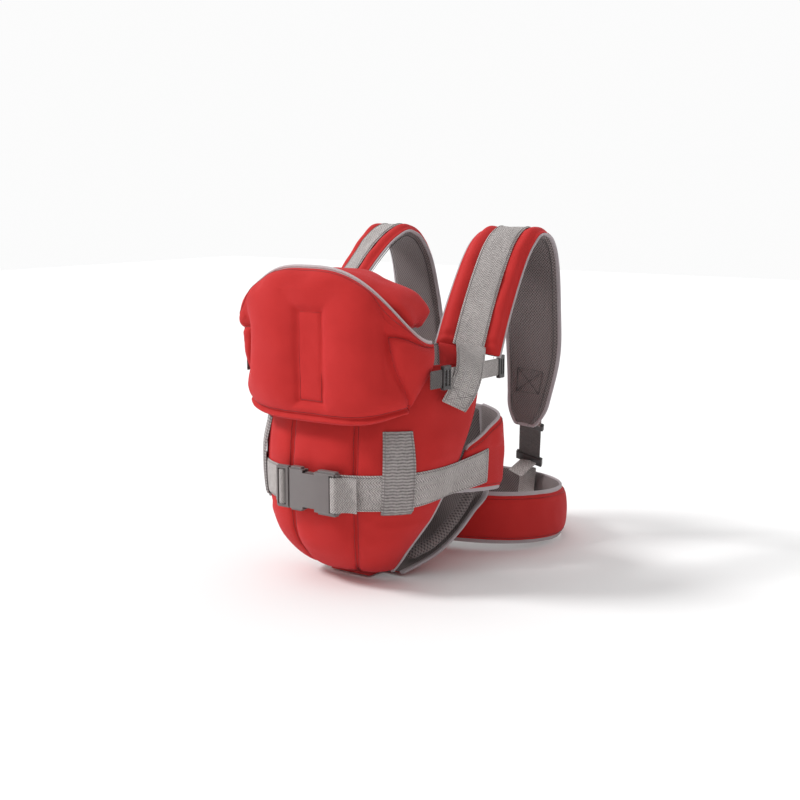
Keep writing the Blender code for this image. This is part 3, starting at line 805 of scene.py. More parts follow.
def dress_both(item, stands_for=None, sheet=None):
    """Dress a right piece and its mirrored twin, which is returned."""
    twin = mirror(item, item.name.replace("_right", "_left"))
    for piece, suffix in ((item, "_right"), (twin, "_left")):
        dress(piece, stands_for and stands_for + suffix, sheet)
    return twin


# Padded front panel: three channels, pressed in under the webbing and the head support.
def left_seam(v):
    return -0.040 + 0 * v


def right_seam(v):
    """The right seam runs in towards the middle under the pouch."""
    return 0.066 - 0.62 * (spline([row[0] for row in FRONT_ROWS], v)[..., 0] + 0.031)


front_split = seam_split(front_surface, (left_seam, right_seam))
front_s = ticks(116, SEAM_S, 0.005)
front = Sheet(front_split, front_s, ticks(74))
seam_columns = [int(np.argmin(np.abs(front_s - m))) for m in SEAM_S]
d_seam = np.minimum.reduce([np.abs(front.left - front.left[c]) for c in seam_columns])
x, z = np.abs(front.P[..., 0]), front.P[..., 2]
u_like = np.arcsin(np.clip(x / 0.15, 0, 1)) * 2 / math.pi
pressed = 1 - smooth(np.abs(z - webbing_height(u_like)), 0.026, 0.040)
pressed *= np.where(x < 0.05, 0.75, 1.0)
keeper_span = smooth(x, 0.084, 0.094) * (1 - smooth(x, 0.134, 0.144))
pressed = np.maximum(pressed, keeper_span * smooth(z, 0.094, 0.104))
room = (1 - pressed) * (1 - smooth(z, 0.205, 0.236)) * (0.35 + 0.65 * smooth(z, 0.015, 0.075))
soft = edge_round(front.border, 0.005, 0.012)
puff = 0.0060 * (1 - np.exp(-np.minimum(d_seam, front.border) / 0.018)) * room - 0.0022 * (1 - pressed)
groove = -0.0036 * ridge(d_seam, 0.0030) * smooth(front.border, 0.0, 0.01)
wrinkle = (0.0008 * ripple(front.P, 0.06, 1) * (0.25 + 0.75 * room)
           + 0.00045 * ripple(front.P * (1, 1, 2.4), 0.030, 2) * np.exp(-d_seam / 0.016) * (0.3 + 0.7 * room))
front_top = thin_edge(front, PANEL_HALF, 0.005, 0.012) + (puff + groove + wrinkle * soft)
front_outer = front.at(front_top)
held = (front.border < 0.006) | (d_seam < 0.003) | (pressed > 0.35) | (z > 0.222)
front_outer = inflate(front_outer, held, pressure=1.6, slack=0.012, cap=0.0022)
front_inner = front.at(-thin_edge(front, PANEL_HALF, *PANEL_EDGE))
front_pad = closed_grid("pouch_front", front_outer, front_inner, front, red)
dress(front_pad, "front_panel")
front_lining, sheet = lining_of("pouch_front_lining", front_split, ticks(84), ticks(56),
                                PANEL_HALF, PANEL_EDGE)
dress(front_lining, "front_panel_lining", sheet=sheet)
for edge in ("right", "left"):
    dress(tape_on_edge("pouch_leg_binding_" + edge, front, edge, tape, part=(0.0, 0.50)))

# Flat reinforced patch under the pouch.
def base_surface(s, t):
    return np.stack([0.036 * (2 * s - 1), 0.064 + 0.018 * (2 * t - 1), 0.0017 + 0 * s], -1)


base_sheet = Sheet(base_surface, ticks(20), ticks(10))
base_half = 0.0004 + EDGE_HALF * edge_round(base_sheet.border, 0, 0.003)
dress(layered("pouch_base_patch", base_sheet, base_half, -base_half, red), "pouch_base")

# Side wings around the leg openings.


def wing_surface(s, t):
    bottom = 0.128 - 0.012 * s
    top = 0.192 + 0.040 * np.sin(s * math.pi / 2)
    return wing_at(s, bottom + (top - bottom) * t)


wing = Sheet(wing_surface, ticks(34), ticks(26))
wing_pressed = 1 - smooth(np.abs(wing.P[..., 2] - 0.1545), 0.0255, 0.036)
wing_pressed *= 1 - smooth(wing.S, 0.52, 0.66)
wing_top = thin_edge(wing, WING_HALF, 0.004, 0.009)
wing_top += (0.0042 * (1 - np.exp(-wing.border / 0.014)) + 0.0008 * ripple(wing.P, 0.045, 5)
             * edge_round(wing.border, 0.004, 0.01)) * (1 - wing_pressed)
held = (wing.border < 0.005) | (wing_pressed > 0.3)
wing_outer = inflate(wing.at(wing_top), held, pressure=1.5, slack=0.012, cap=0.002)
wing_inner = wing.at(-thin_edge(wing, WING_HALF, *WING_EDGE))
wing_pad = closed_grid("side_wing_pad_right", wing_outer, wing_inner, wing, red)
wing_lining, sheet = lining_of("side_wing_mesh_right", wing_surface, ticks(30), ticks(20),
                               WING_HALF, WING_EDGE)
wing_tapes = [tape_on_edge("side_wing_binding_%s_right" % place, wing, edge, tape, reach=0.005, half=0.0019)
              for edge, place in (("bottom", "low"), ("top", "high"), ("right", "back"))]
for item in wing_tapes:
    dress_both(item)
dress_both(wing_pad, "side_wing")
dress_both(wing_lining, "side_wing_lining", sheet=sheet)

# Seat and back panel: its normal points to the baby, so the red outside is the low side.
seat = Sheet(seat_patch, ticks(48), ticks(64))
seat_round = edge_round(seat.border, 0.004, 0.010)
seat_out = 0.0036 + (0.0024 + 0.0030 * (1 - np.exp(-seat.border / 0.02))) * seat_round
seat_out += 0.0009 * ripple(seat.P, 0.05, 7) * seat_round
seat_pad = layered("seat_back_pad", seat, -0.0026 + 0.0006 * seat_round, -seat_out, red)
mesh_top = -0.0012 + 0.0024 * seat_round + 0.0005 * ripple(seat.P, 0.04, 8) * seat_round
seat_lining = layered("seat_back_mesh", seat, mesh_top, -0.0020 + 0.0004 * seat_round, mesh_cloth)
dress(seat_pad, "back_panel")
dress(seat_lining, "back_panel_lining", sheet=seat)
for edge in ("left", "right", "top"):
    dress(tape_on_edge("seat_binding_" + edge, seat, edge, tape, reach=0.006, half=0.0024,
                       lift=BINDING_LIFT))

# Padded rolls around the leg openings.
ROLL_ROUTE = [(0.066, 0.096, 0.024), (0.088, 0.128, 0.042), (0.102, 0.158, 0.068),
              (0.110, 0.184, 0.098), (0.108, 0.200, 0.124)]
roll_t = np.linspace(0, 1, 70)
roll_path = spline(ROLL_ROUTE, roll_t)
roll_ahead = unit(np.gradient(roll_path, axis=0))
roll_side = unit(np.cross(roll_ahead, (0.3, 0.2, 1.0)))
roll_up = np.cross(roll_side, roll_ahead)
roll_size = 0.0088 * np.minimum(1, np.sin(np.clip(roll_t, 0.012, 0.988) * math.pi) * 6) ** 0.5
roll_size *= 1 + 0.035 * np.sin(roll_t * 62) * np.cos(roll_t * 23)
profiles = oval(2, 2, 14)[None] * roll_size[:, None, None]
roll = sweep("leg_roll_pad_right", roll_path, roll_side, roll_up, profiles, mesh_cloth, subdivide=1)
dress_both(roll, "leg_roll")


# ---------------------------------------------------------------- head support

def hood_surface(s, t):
    """The head support's middle surface, drawn in at both sides where the straps pull it back."""
    p = hood_loft(2 * s - 1, t)
    across = np.abs(p[..., 0])
    hollow = 0.0095 * ridge(across - 0.119, 0.016) * smooth(t, 0.16, 0.42) * (1 - smooth(t, 0.74, 0.97))
    p[..., 0] -= np.sign(p[..., 0]) * hollow * 0.62
    p[..., 1] += hollow * 0.78
    p[..., 0] += 0.007 * smooth(-p[..., 0], 0.126, 0.150) * (1 - smooth(t, 0.70, 0.90))
    slumped = ridge(p[..., 0] + 0.124, 0.028) * smooth(t, 0.56, 0.84)
    p[..., 0] -= 0.009 * slumped
    p[..., 1] -= 0.008 * slumped
    return p


def distance_to(points, curve):
    """Distance of every grid point to the nearest point of a curve."""
    dense = resample(curve, 0.0015)
    best = np.full(points.shape[:-1], 1e9)
    for q in dense:
        best = np.minimum(best, np.linalg.norm(points - q, axis=-1))
    return best


hood = Sheet(hood_surface, ticks(112), ticks(84))
PATCH_X, PATCH_Z = (-0.011, 0.031), (0.265, 0.390)
PATCH_SEAM = 0.0022
x, z = hood.P[..., 0], hood.P[..., 2]
d_patch = np.maximum.reduce([PATCH_X[0] - x, x - PATCH_X[1], PATCH_Z[0] - z, z - PATCH_Z[1]])
d_patch = np.where(hood.P[..., 1] < 0.0, d_patch, 1.0)
upper = spline([(0.536, 0.64), (0.64, 0.735), (0.75, 0.83), (0.87, 0.90), (1.0, 0.93)],
               np.linspace(0, 1, 40))
lower = spline([(0.536, 0.64), (0.548, 0.567), (0.596, 0.46), (0.70, 0.335), (0.84, 0.19), (0.95, 0.06)],
               np.linspace(0, 1, 50))
gusset_lines = [(sign, line) for sign in (1, -1) for line in (upper, lower)]
gusset_curves = [hood_surface((1 + sign * line[:, 0]) / 2, line[:, 1]) for sign, line in gusset_lines]
d_gusset = np.minimum.reduce([distance_to(hood.P, curve) for curve in gusset_curves])
HEM = 0.0115
d_hem = np.abs(hood.bottom - HEM)
d_lines = np.minimum.reduce([np.abs(d_patch), d_gusset, d_hem])
hood_round = edge_round(hood.border, 0.001, 0.011)
hood_puff = 0.0078 * (1 - np.exp(-np.minimum(d_lines, hood.border) / 0.020)) * smooth(d_patch, -0.004, 0.010)
hood_puff *= 1 - 0.65 * smooth(np.abs(x), 0.128, 0.150)
hood_puff += 0.0030 * ridge(hood.bottom - HEM * 0.45, 0.006)
hood_groove = (-0.0052 * ridge(d_gusset, 0.0030) - 0.0036 * ridge(d_hem, 0.0026)
               - 0.0032 * ridge(d_patch, 0.0024) - 0.0016 * smooth(-d_patch, -0.002, 0.002))
hood_wrinkle = (0.0010 * ripple(hood.P, 0.07, 11)
                + 0.00045 * ripple(hood.P, 0.024, 12) * np.exp(-d_lines / 0.014))
hood_top = thin_edge(hood, HOOD_HALF, *HOOD_EDGE) + (hood_puff + hood_wrinkle) * hood_round
hood_top += hood_groove * smooth(hood.border, 0.0, 0.008)
held = (hood.border < 0.003) | (d_gusset < 0.0025) | (d_hem < 0.0022) | (d_patch < 0.0015)
hood_outer = inflate(hood.at(hood_top), held, pressure=1.6, slack=0.010, cap=0.0024)
hood_inner = hood.at(-thin_edge(hood, HOOD_HALF, *HOOD_EDGE))
hood_pad = closed_grid("head_support_pad", hood_outer, hood_inner, hood, red)
dress(hood_pad, "head_support_panel")
hood_lining, sheet = lining_of("head_support_mesh", hood_surface, ticks(80), ticks(50),
                               HOOD_HALF, HOOD_EDGE)
dress(hood_lining, "head_support_lining", sheet=sheet)

# Piping along the rim, with the flange it is sewn in by.
rim_s = np.linspace(0.02, 0.98, 120)
rim_top = hood_surface(rim_s, np.full(120, 1.0))
rim_out = unit(rim_top - hood_surface(rim_s, np.full(120, 0.98)))
rim_path = rim_top + rim_out * 0.0026
rim_ahead = unit(np.gradient(rim_path, axis=0))
rim_up = unit(np.cross(rim_out, rim_ahead))
piping = sweep("head_support_cord_piping", rim_path, rim_out, rim_up, oval(0.0048, 0.0048, 12), piping_cloth)
flange = sweep("head_support_piping_flange", rim_top + rim_out * 0.0004, rim_out, rim_up,
               oval(0.0056, 0.0022, 8, 3), piping_cloth)
dress(piping, "head_support_piping")
dress(flange)


# Puffy crown behind the rim.
def rounded_crown(s, t):
    """The crown's surface with its back corners cut round."""
    u = 2 * s - 1
    return crown_surface(u, t * (1 - 0.42 * smooth(np.abs(u), 0.62, 1.0) ** 1.5))


crown = Sheet(rounded_crown, ticks(72), ticks(34))
crown_round = edge_round(crown.border, 0.0, 0.012)
from_side = np.minimum(crown.left, crown.right)
crown_half = 0.002 + (CROWN_HALF - 0.002) * crown_round
crown_top = crown_half + 0.0045 * (1 - np.exp(-crown.border / 0.014)) * crown_round
crown_top += 0.0100 * ridge(from_side - 0.030, 0.026) * crown_round
crown_top += (0.0012 * ripple(crown.P, 0.06, 15) + 0.0004 * ripple(crown.P, 0.02, 16)) * crown_round
crown_outer = inflate(crown.at(crown_top), crown.border < 0.003, pressure=2.0, slack=0.018, cap=0.004)
crown_inner = crown.at(-0.002 - (CROWN_HALF - 0.002 + 0.006 * ridge(from_side, 0.040)) * crown_round)
crown_pad = closed_grid("head_support_crown_pad", crown_outer, crown_inner, crown, red)
dress(crown_pad, "head_support_crown")


# ---------------------------------------------------------------- shoulder straps

def pad_strip(width, end_round=0.0):
    """Surface of a strip of the given width along the shoulder strap's route."""

    def surface(s, t):
        s, v = pair(s, t)
        ahead = unit(spline(PAD_ROUTE, np.minimum(v + 0.01, 1)) - spline(PAD_ROUTE, np.maximum(v - 0.01, 0)))
        turn = PAD_TURN_FRONT + (PAD_TURN_BACK - PAD_TURN_FRONT) * np.minimum(1.0, v * 1.4)
        across = np.stack([np.cos(turn), np.sin(turn), np.zeros_like(turn)], -1)
        across = unit(across - ahead * (across * ahead).sum(-1, keepdims=True))
        taper = 1.0 - end_round * (0.80 * smooth(v, 0.76, 0.98) + np.maximum(0.0, (v - 0.93) / 0.07) ** 2)
        return spline(PAD_ROUTE, v) + across * (width * taper * (s - 0.5))[..., None]

    return surface


pad_shape = pad_strip(PAD_WIDTH, end_round=0.35)
pad = Sheet(pad_shape, ticks(30), ticks(150))
from_middle = np.abs(pad.left - pad.left[-1:] / 2)
band = np.clip((from_middle - 0.0225) / 0.0215, 0, 1)
end_seam = np.abs(pad.bottom - 0.014)
pad_round = edge_round(pad.border, *PAD_EDGE)
pad_half = thin_edge(pad, PAD_HALF, *PAD_EDGE)
pad_puff = 0.0034 * np.sin(band * math.pi) ** 0.8
pad_puff *= 1 - ridge(end_seam, 0.005)
pad_puff = pad_puff + 0.0006 * ripple(pad.P, 0.04, 21) * smooth(band, 0.02, 0.3)
pad_top = pad_half + pad_puff * pad_round
pad_top -= 0.0016 * ridge(end_seam, 0.0022)
held = (pad.border < 0.006) | (from_middle < 0.0235) | (end_seam < 0.003)
pad_outer = inflate(pad.at(pad_top), held, pressure=1.5, slack=0.010, cap=0.0015)
pad_item = closed_grid("shoulder_strap_pad_right", pad_outer, pad.at(-pad_half), pad, red)
pad_lining, pad_lining_sheet = lining_of("shoulder_strap_mesh_right", pad_shape, ticks(22),
                                         ticks(120), PAD_HALF, PAD_EDGE)
strap_web_sheet = Sheet(pad_strip(SHOULDER_WEB), ticks(14), ticks(150))
web_base = PAD_HALF + 0.0012 + 0.0007 * (1 + ripple(strap_web_sheet.P, 0.030, 23))
web_top = web_base + 0.0006 + WEB_RISE * strap_web_sheet.sides_round(WEB_EDGE)
strap_web = layered("shoulder_strap_webbing_right", strap_web_sheet, web_top, web_base, web)
pad_tapes = [tape_on_edge("shoulder_strap_binding_%s_right" % place, pad, edge, tape,
                          reach=0.0042, half=0.0019, lift=BINDING_LIFT)
             for edge, place in (("left", "inner"), ("right", "outer"), ("top", "end"))]


def anchor_surface(s, t):
    s, t = pair(s, t)
    side = unit(spline(ANCHOR_SIDES, t))
    return spline(ANCHOR_ROUTE, t) + side * (SHOULDER_WEB * (s - 0.5))[..., None]


anchor_sheet = Sheet(anchor_surface, ticks(14), ticks(46))
anchor_top = 0.0008 + WEB_RISE * anchor_sheet.sides_round(WEB_EDGE)
anchor = layered("shoulder_strap_anchor_right", anchor_sheet, anchor_top, 0.0, web)
dress_both(pad_item, "shoulder_pad")
dress_both(pad_lining, "shoulder_pad_lining", sheet=pad_lining_sheet)
dress_both(strap_web, "shoulder_webbing")
dress_both(anchor, "shoulder_anchor")
for item in pad_tapes:
    dress_both(item)


def root_surface(s, t):
    """From the pad's chest end down onto the outside of the front panel."""
    s, t = pair(s, t)
    top = pad_strip(PAD_WIDTH)(0.03 + 0.72 * s, 0.004 + 0 * s)
    low = front_at(0.70 + 0.23 * s, 0.283 + 0 * s) + np.array((0.006, -0.006, 0.0))
    return top + (low - top) * t[..., None]


root_sheet = Sheet(root_surface, ticks(22), ticks(18))
root_half = 0.0012 + 0.0036 * edge_round(root_sheet.border, 0.0, 0.008)
root_top = root_half + 0.0006 * ripple(root_sheet.P, 0.03, 51)
root = layered("shoulder_strap_root_right", root_sheet, root_top, -root_half, red)
dress_both(root)


# ---------------------------------------------------------------- rear harness

def straight(start, end, width, side):
    """Surface of a flat strip from start to end, its width as near to side as it can be."""
    side = np.asarray(side, float)
    ahead = unit(end - start)
    across = unit(side - ahead * (side @ ahead))

    def surface(s, t):
        s, t = pair(s, t)
        return start + (end - start) * t[..., None] + across * (width * (s - 0.5))[..., None]

    return surface


def flat_strap(name, surface, material, columns=12, rows=40, low=-0.0008, high=0.0008, waves=0.0):
    sheet = Sheet(surface, ticks(columns), ticks(rows))
    middle = (low + high) / 2 + waves * ripple(sheet.P, 0.04, 27)
    half = (high - low) / 2 * (0.45 + 0.65 * sheet.sides_round(0.0014))
    return layered(name, sheet, middle + half, middle - half, material)


rear_run = straight(REAR_WEB_TOP, REAR_WEB_LOW, REAR_WEB, (1, 0, 0))
# The rear harness webbing takes the darkened webbing copy, which is painted shade.
rear_web = flat_strap("rear_harness_webbing_right", rear_run, shaded_web, waves=0.0002)
sewn_at = REAR_WEB_LOW + (0.0, -0.002, -0.0075)
sewn_run = straight(sewn_at, sewn_at + (-0.001, -0.0065, -0.048), REAR_WEB, (1.0, -0.30, 0.0))
belt_anchor = flat_strap("belt_anchor_webbing_right", sewn_run, web, rows=18)
tail_at = REAR_WEB_LOW + (0.005, -0.006, 0.004)
tail_run = straight(tail_at, tail_at + (-0.012, -0.028, -0.019), TAIL_WEB, (1, 0, 0))
rear_tail = flat_strap("rear_harness_tail_right", tail_run, web, rows=20, waves=0.0006)
dress_both(rear_tail)
dress_both(rear_web, "rear_webbing")
dress_both(belt_anchor, "belt_anchor")


# ---------------------------------------------------------------- waist belt

def belt_surface(s, t):
    s, t = pair(s, t)
    angle = -2 * math.pi * s
    y = BELT_CENTRE_Y + BELT_RADIUS_Y * np.sin(angle)
    z = BELT_MID_Z + (BELT_CENTRE_Y - y) * BELT_DROP + BELT_HEIGHT * (t - 0.5)
    return np.stack([BELT_RADIUS_X * np.cos(angle), y, z], -1)


belt = Sheet(belt_surface, np.linspace(0, 1, 161), ticks(20), ring=True)
belt_round = edge_round(belt.border, *BELT_EDGE)
belt_half = thin_edge(belt, BELT_HALF, *BELT_EDGE)
belt_out = belt_half + 0.0042 * (1 - np.exp(-belt.border / 0.016)) * belt_round
belt_out += (0.0009 * ripple(belt.P, 0.07, 33)
             + 0.0004 * ripple(belt.P * (1, 1, 0.4), 0.022, 34)) * belt_round
belt_outer = inflate(belt.at(-belt_out)[:, ::-1], (belt.border < 0.005)[:, ::-1],
                     pressure=1.5, slack=0.012, cap=0.002, ring=True)[:, ::-1]
belt_pad = closed_grid("waist_belt_padding", belt.at(belt_half), belt_outer, belt, red)
dress(belt_pad, "waist_belt_pad")
belt_lining, sheet = lining_of("waist_belt_mesh", belt_surface, np.linspace(0, 1, 121), ticks(14),
                               BELT_HALF, BELT_EDGE, outside=True)
dress(belt_lining, "waist_belt_lining", sheet=sheet)
for edge in ("top", "bottom"):
    dress(tape_on_edge("waist_belt_binding_" + edge, belt, edge, tape, reach=0.0058, half=0.0022))


def bridge_surface(s, t):
    """Gusset from the back panel to the belt's front, seen as one padded sheet."""
    x = -0.05 + 0.10 * s
    reach = np.sqrt(1 - (x / (BELT_RADIUS_X + BELT_HALF)) ** 2)
    belt_y = BELT_CENTRE_Y - (BELT_RADIUS_Y + BELT_HALF) * reach - 0.0012
    return np.stack([x, BRIDGE_Y + (belt_y - BRIDGE_Y) * t, BRIDGE_Z + 0 * s * t], -1)


bridge_sheet = Sheet(bridge_surface, ticks(24), ticks(8))
bridge_half = 0.006 + 0.009 * bridge_sheet.sides_round(0.010)
bridge = layered("belt_bridge_gusset", bridge_sheet, bridge_half, -bridge_half, red)
dress(bridge, "belt_bridge")


# ---------------------------------------------------------------- waist webbing and buckle

def waist_strip(s, t):
    s, t = pair(s, t)
    z = BUCKLE_Z + RISE * s ** 1.5 + WAIST_WEB * (t - 0.5)
    over_front = front_at(0.20 + 0.80 * np.minimum(s, WEB_SPLIT) / WEB_SPLIT, z)
    over_wing = wing_at(0.30 * np.maximum(s - WEB_SPLIT, 0) / (1 - WEB_SPLIT), z)
    return np.where((s < WEB_SPLIT)[..., None], over_front, over_wing)


waist_sheet = Sheet(waist_strip, ticks(120), ticks(14))
waist_base = PANEL_HALF + 0.0011 + 0.0003 * ripple(waist_sheet.P, 0.05, 41)
waist_round = edge_round(np.minimum(waist_sheet.bottom, waist_sheet.top), 0, WEB_EDGE)
waist_top = waist_base + 0.0006 + WEB_RISE * waist_round
waist_web = layered("waist_webbing_strap_right", waist_sheet, waist_top, waist_base, web_long)


def keeper_surface(s, t):
    return front_at(0.47 - 0.062 * t + (0.208 - 0.056 * t) * s, 0.113 + 0.113 * t)


keeper_sheet = Sheet(keeper_surface, ticks(14), ticks(170))
t = keeper_sheet.T
ramp = np.minimum(1.0, np.minimum(t / 0.07, (1 - t) / 0.40))
ramp = ramp * ramp * (3 - 2 * ramp)
keeper_base = PANEL_HALF + GAP + 0.0036 * ramp
keeper_round = keeper_sheet.sides_round(WEB_EDGE)
keeper_ribs = 0.00045 * np.sin(keeper_sheet.bottom * 2 * math.pi / KEEPER_RIB)
keeper_top = keeper_base + 0.0007 + WEB_RISE * keeper_round + keeper_ribs * keeper_round
keeper = layered("webbing_keeper_loop_right", keeper_sheet, keeper_top, keeper_base, web_keeper, 0)
dress_both(waist_web, "waist_webbing")
dress_both(keeper, "webbing_keeper")


def webbing_loop(name, route):
    """Doubled-over end of the waist webbing; the route is (x, y) seen from above."""
    path = np.array([(px, py, BUCKLE_Z) for px, py in route])
    path = resample(spline(path, np.linspace(0, 1, 80)), 0.0012)
    ahead = unit(np.gradient(path, axis=0))
    up = np.broadcast_to((0.0, 0.0, 1.0), path.shape)
    side = np.cross(ahead, up)
    half, thick = WAIST_WEB / 2 - 0.0006, 0.0008
    one_face = [(thick * 0.5, -half), (thick, -half + 0.001), (thick, 0), (thick, half - 0.001),
                (thick * 0.5, half)]
    profile = one_face + [(-across, rise) for across, rise in reversed(one_face)]
    dress(sweep(name, path, side, up, profile, web_loop))


webbing_loop("waist_webbing_loop_right", [
    (0.0800, -0.0400), (0.0700, -0.0410), (0.0620, -0.0450), (0.0575, -0.0515), (0.0545, -0.0553),
    (0.0500, -0.0557), (0.0462, -0.0545), (0.0453, -0.0480), (0.0455, -0.0420), (0.0490, -0.0382),
    (0.0560, -0.0374)])
webbing_loop("waist_webbing_loop_left", [
    (-0.0640, -0.0392), (-0.0570, -0.0400), (-0.0505, -0.0425), (-0.0485, -0.0480), (-0.0470, -0.0517),
    (-0.0442, -0.0523), (-0.0415, -0.0517), (-0.0398, -0.0480), (-0.0400, -0.0415), (-0.0440, -0.0384),
    (-0.0520, -0.0378)])

# ---------------------------------------------------------------- head straps

head_side = (0.0, 0.0, -1.0)
head_run = straight(HEAD_WEB_FRONT, HEAD_WEB_BACK, HEAD_WEB, head_side)
head_web = flat_strap("head_strap_right", head_run, web, columns=10, rows=70)
loop_end = HEAD_WEB_FRONT + (0.0006, -0.0110, 0.0)
loop_start = loop_end + (-0.0010, -0.0260, 0.0)
# The tabs take the darkened webbing copy, which is painted shade.
head_loop = flat_strap("head_strap_tab_right", straight(loop_start, loop_end, HEAD_WEB, head_side),
                       shaded_web, columns=8, rows=12, low=-0.0002, high=0.0014)
head_web_left = dress_both(head_web, "head_strap_webbing")
dress_both(head_loop, "head_strap_loop")

# ---------------------------------------------------------------- stitching

def edge_line(sheet, edge, distance, part=(0, 1)):
    """(s, t) of a line at a distance from one edge of a sheet."""
    if edge in ("left", "right"):
        t = np.linspace(part[0], part[1], 200)
        j = np.clip(np.searchsorted(sheet.t, t), 0, len(sheet.t) - 1)
        far = sheet.left if edge == "left" else sheet.right[::-1]
        steps = sheet.s if edge == "left" else sheet.s[::-1]
        return np.array([np.interp(distance, far[:, k], steps) for k in j]), t
    s = np.linspace(part[0], part[1], 200)
    i = np.clip(np.searchsorted(sheet.s, s), 0, len(sheet.s) - 1)
    far = sheet.bottom if edge == "bottom" else sheet.top[:, ::-1]
    steps = sheet.t if edge == "bottom" else sheet.t[::-1]
    return s, np.array([np.interp(distance, far[k], steps) for k in i])


def locate(sheet, x, z):
    """(s, t) of the places on a sheet with the given X and Z."""
    s, t = np.full(len(x), 0.5), np.full(len(x), 0.5)
    for _ in range(6):
        i = np.clip(np.searchsorted(sheet.s, s), 0, len(sheet.s) - 1)
        t = np.array([np.interp(q, sheet.P[k, :, 2], sheet.t) for k, q in zip(i, z)])
        j = np.clip(np.searchsorted(sheet.t, t), 0, len(sheet.t) - 1)
        s = np.array([np.interp(q, sheet.P[:, k, 0], sheet.s) for k, q in zip(j, x)])
    return s, t


def polyline(points, count=60):
    points = np.asarray(points, float)
    return resample(points, np.linalg.norm(np.diff(points, axis=0), axis=-1).sum() / count).T


def sewn(name, material, rows, **sizes):
    """Stitch rows; each is (sheet, layer, (s, t), outward sign of the sheet's normal)."""
    lines = []
    for sheet, layer, (s, t), sign in rows:
        points, normals = on_layer(sheet, layer, s, t)
        lines.append((points, normals * sign))
    item = stitches(name, lines, material, **sizes)
    dress(item)
    return item


def rectangle(x0, x1, y0, y1, count):
    return polyline([(x0, y0), (x1, y0), (x1, y1), (x0, y1), (x0, y0)], count)


def crossed_box(margin, low, high):
    """A rectangle in (s, t) with both its diagonals."""
    other = 1 - margin
    return [rectangle(margin, other, low, high, 150), polyline([(margin, low), (other, high)]),
            polyline([(other, low), (margin, high)])]


pouch_rows = []
for at in SEAM_S:
    for shift in (-0.0075, 0.0075):
        pouch_rows.append((front, front_outer, (np.full(160, at + shift), np.linspace(0.06, 0.97, 160)), 1))
sewn("pouch_stitching", red_thread, pouch_rows)

corners = rectangle(PATCH_X[0] + PATCH_SEAM, PATCH_X[1] - PATCH_SEAM,
                    PATCH_Z[0] + PATCH_SEAM, PATCH_Z[1] - PATCH_SEAM, 240)
hood_lines = [locate(hood, *corners), edge_line(hood, "bottom", HEM + 0.0030, (0.03, 0.97)),
              edge_line(hood, "top", 0.0045, (0.03, 0.97))]
for sign, line in gusset_lines:
    hood_lines.append(((1 + sign * (line[:, 0] + 0.012)) / 2, line[:, 1] - 0.006))
sewn("head_support_stitching", red_thread, [(hood, hood_outer, line, 1) for line in hood_lines])

strap_layer, anchor_layer = strap_web_sheet.at(web_top), anchor_sheet.at(anchor_top)
keeper_layer, waist_layer = keeper_sheet.at(keeper_top), waist_sheet.at(waist_top)
web_rows = []
for edge in ("left", "right"):
    web_rows.append((strap_web_sheet, strap_layer, edge_line(strap_web_sheet, edge, 0.0032), 1))
    web_rows.append((keeper_sheet, keeper_layer, edge_line(keeper_sheet, edge, 0.0030), 1))
    web_rows.append((anchor_sheet, anchor_layer, edge_line(anchor_sheet, edge, 0.0032, (0.0, 0.9)), 1))
for edge in ("top", "bottom"):
    web_rows.append((keeper_sheet, keeper_layer, edge_line(keeper_sheet, edge, 0.0040), 1))
    web_rows.append((waist_sheet, waist_layer, edge_line(waist_sheet, edge, 0.0030), 1))
web_rows.append((waist_sheet, waist_layer, edge_line(waist_sheet, "right", 0.0040), 1))
web_rows += [(anchor_sheet, anchor_layer, line, 1) for line in crossed_box(0.12, 0.06, 0.30)]
web_stitching = sewn("webbing_stitching_right", grey_thread, web_rows)

mesh_offset = np.full(pad_lining_sheet.P.shape[:2], -(PAD_HALF + GAP + 0.0028))
mesh_layer = pad_lining_sheet.at(mesh_offset)
mesh_lines = crossed_box(0.24, 0.845, 0.905)
mesh_lines += [edge_line(pad_lining_sheet, edge, 0.0085) for edge in ("left", "right")]
mesh_rows = [(pad_lining_sheet, mesh_layer, line, -1) for line in mesh_lines]
mesh_stitching = sewn("strap_mesh_stitching_right", dark_thread, mesh_rows, width=0.0013, height=0.0009)

wing_rows = [(wing, wing_outer, edge_line(wing, edge, 0.0072), 1) for edge in ("top", "bottom", "right")]
wing_stitching = sewn("side_wing_stitching_right", red_thread, wing_rows)
for item in (web_stitching, mesh_stitching, wing_stitching):
    dress_both(item)
belt_rows = [(belt, belt_outer, edge_line(belt, edge, 0.0082), -1) for edge in ("top", "bottom")]
sewn("waist_belt_stitching", red_thread, belt_rows)

# ---------------------------------------------------------------- moulded parts from the CAD

BEVEL_WIDTH = 0.0005
BUCKLE_NODES = ("buckle_socket", "buckle_prong", "latch_arm_upper", "latch_arm_lower")
BLACK_NODES = [base_name + suffix for suffix in ("_right", "_left") for base_name in
               ("ladder_lock", "rear_keeper", "head_strap_slider", "head_strap_keeper")]
for names, material in ((BUCKLE_NODES, buckle_plastic), (BLACK_NODES, black_plastic)):
    for name in names:
        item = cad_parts[name]
        item.data.materials.clear()
        item.data.materials.append(material)
        bevel = item.modifiers.new("soft_edges", "BEVEL")
        bevel.width = BEVEL_WIDTH
        bevel.segments = 2
        bevel.limit_method = "ANGLE"
        bevel.angle_limit = math.radians(35)
        bevel.harden_normals = False

# ---------------------------------------------------------------- every piece rides on a body

BLEND_Y = (0.062, 0.098)
for name, item in made.items():
    if item in (head_web, head_web_left):
        continue
    body = "head_support" if name.startswith(("head_support", "head_strap_tab")) else "carrier"
    if name == "waist_webbing_loop_left":
        body = "buckle_prong"
    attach(item, body)
for item, side in ((head_web, 1), (head_web_left, -1)):
    start, end = [(side * HEAD_WEB_FRONT[0], y - ORIGIN_Y, HEAD_WEB_FRONT[2]) for y in BLEND_Y]
    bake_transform(item)
    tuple(start)
    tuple(end)

# ---------------------------------------------------------------- studio

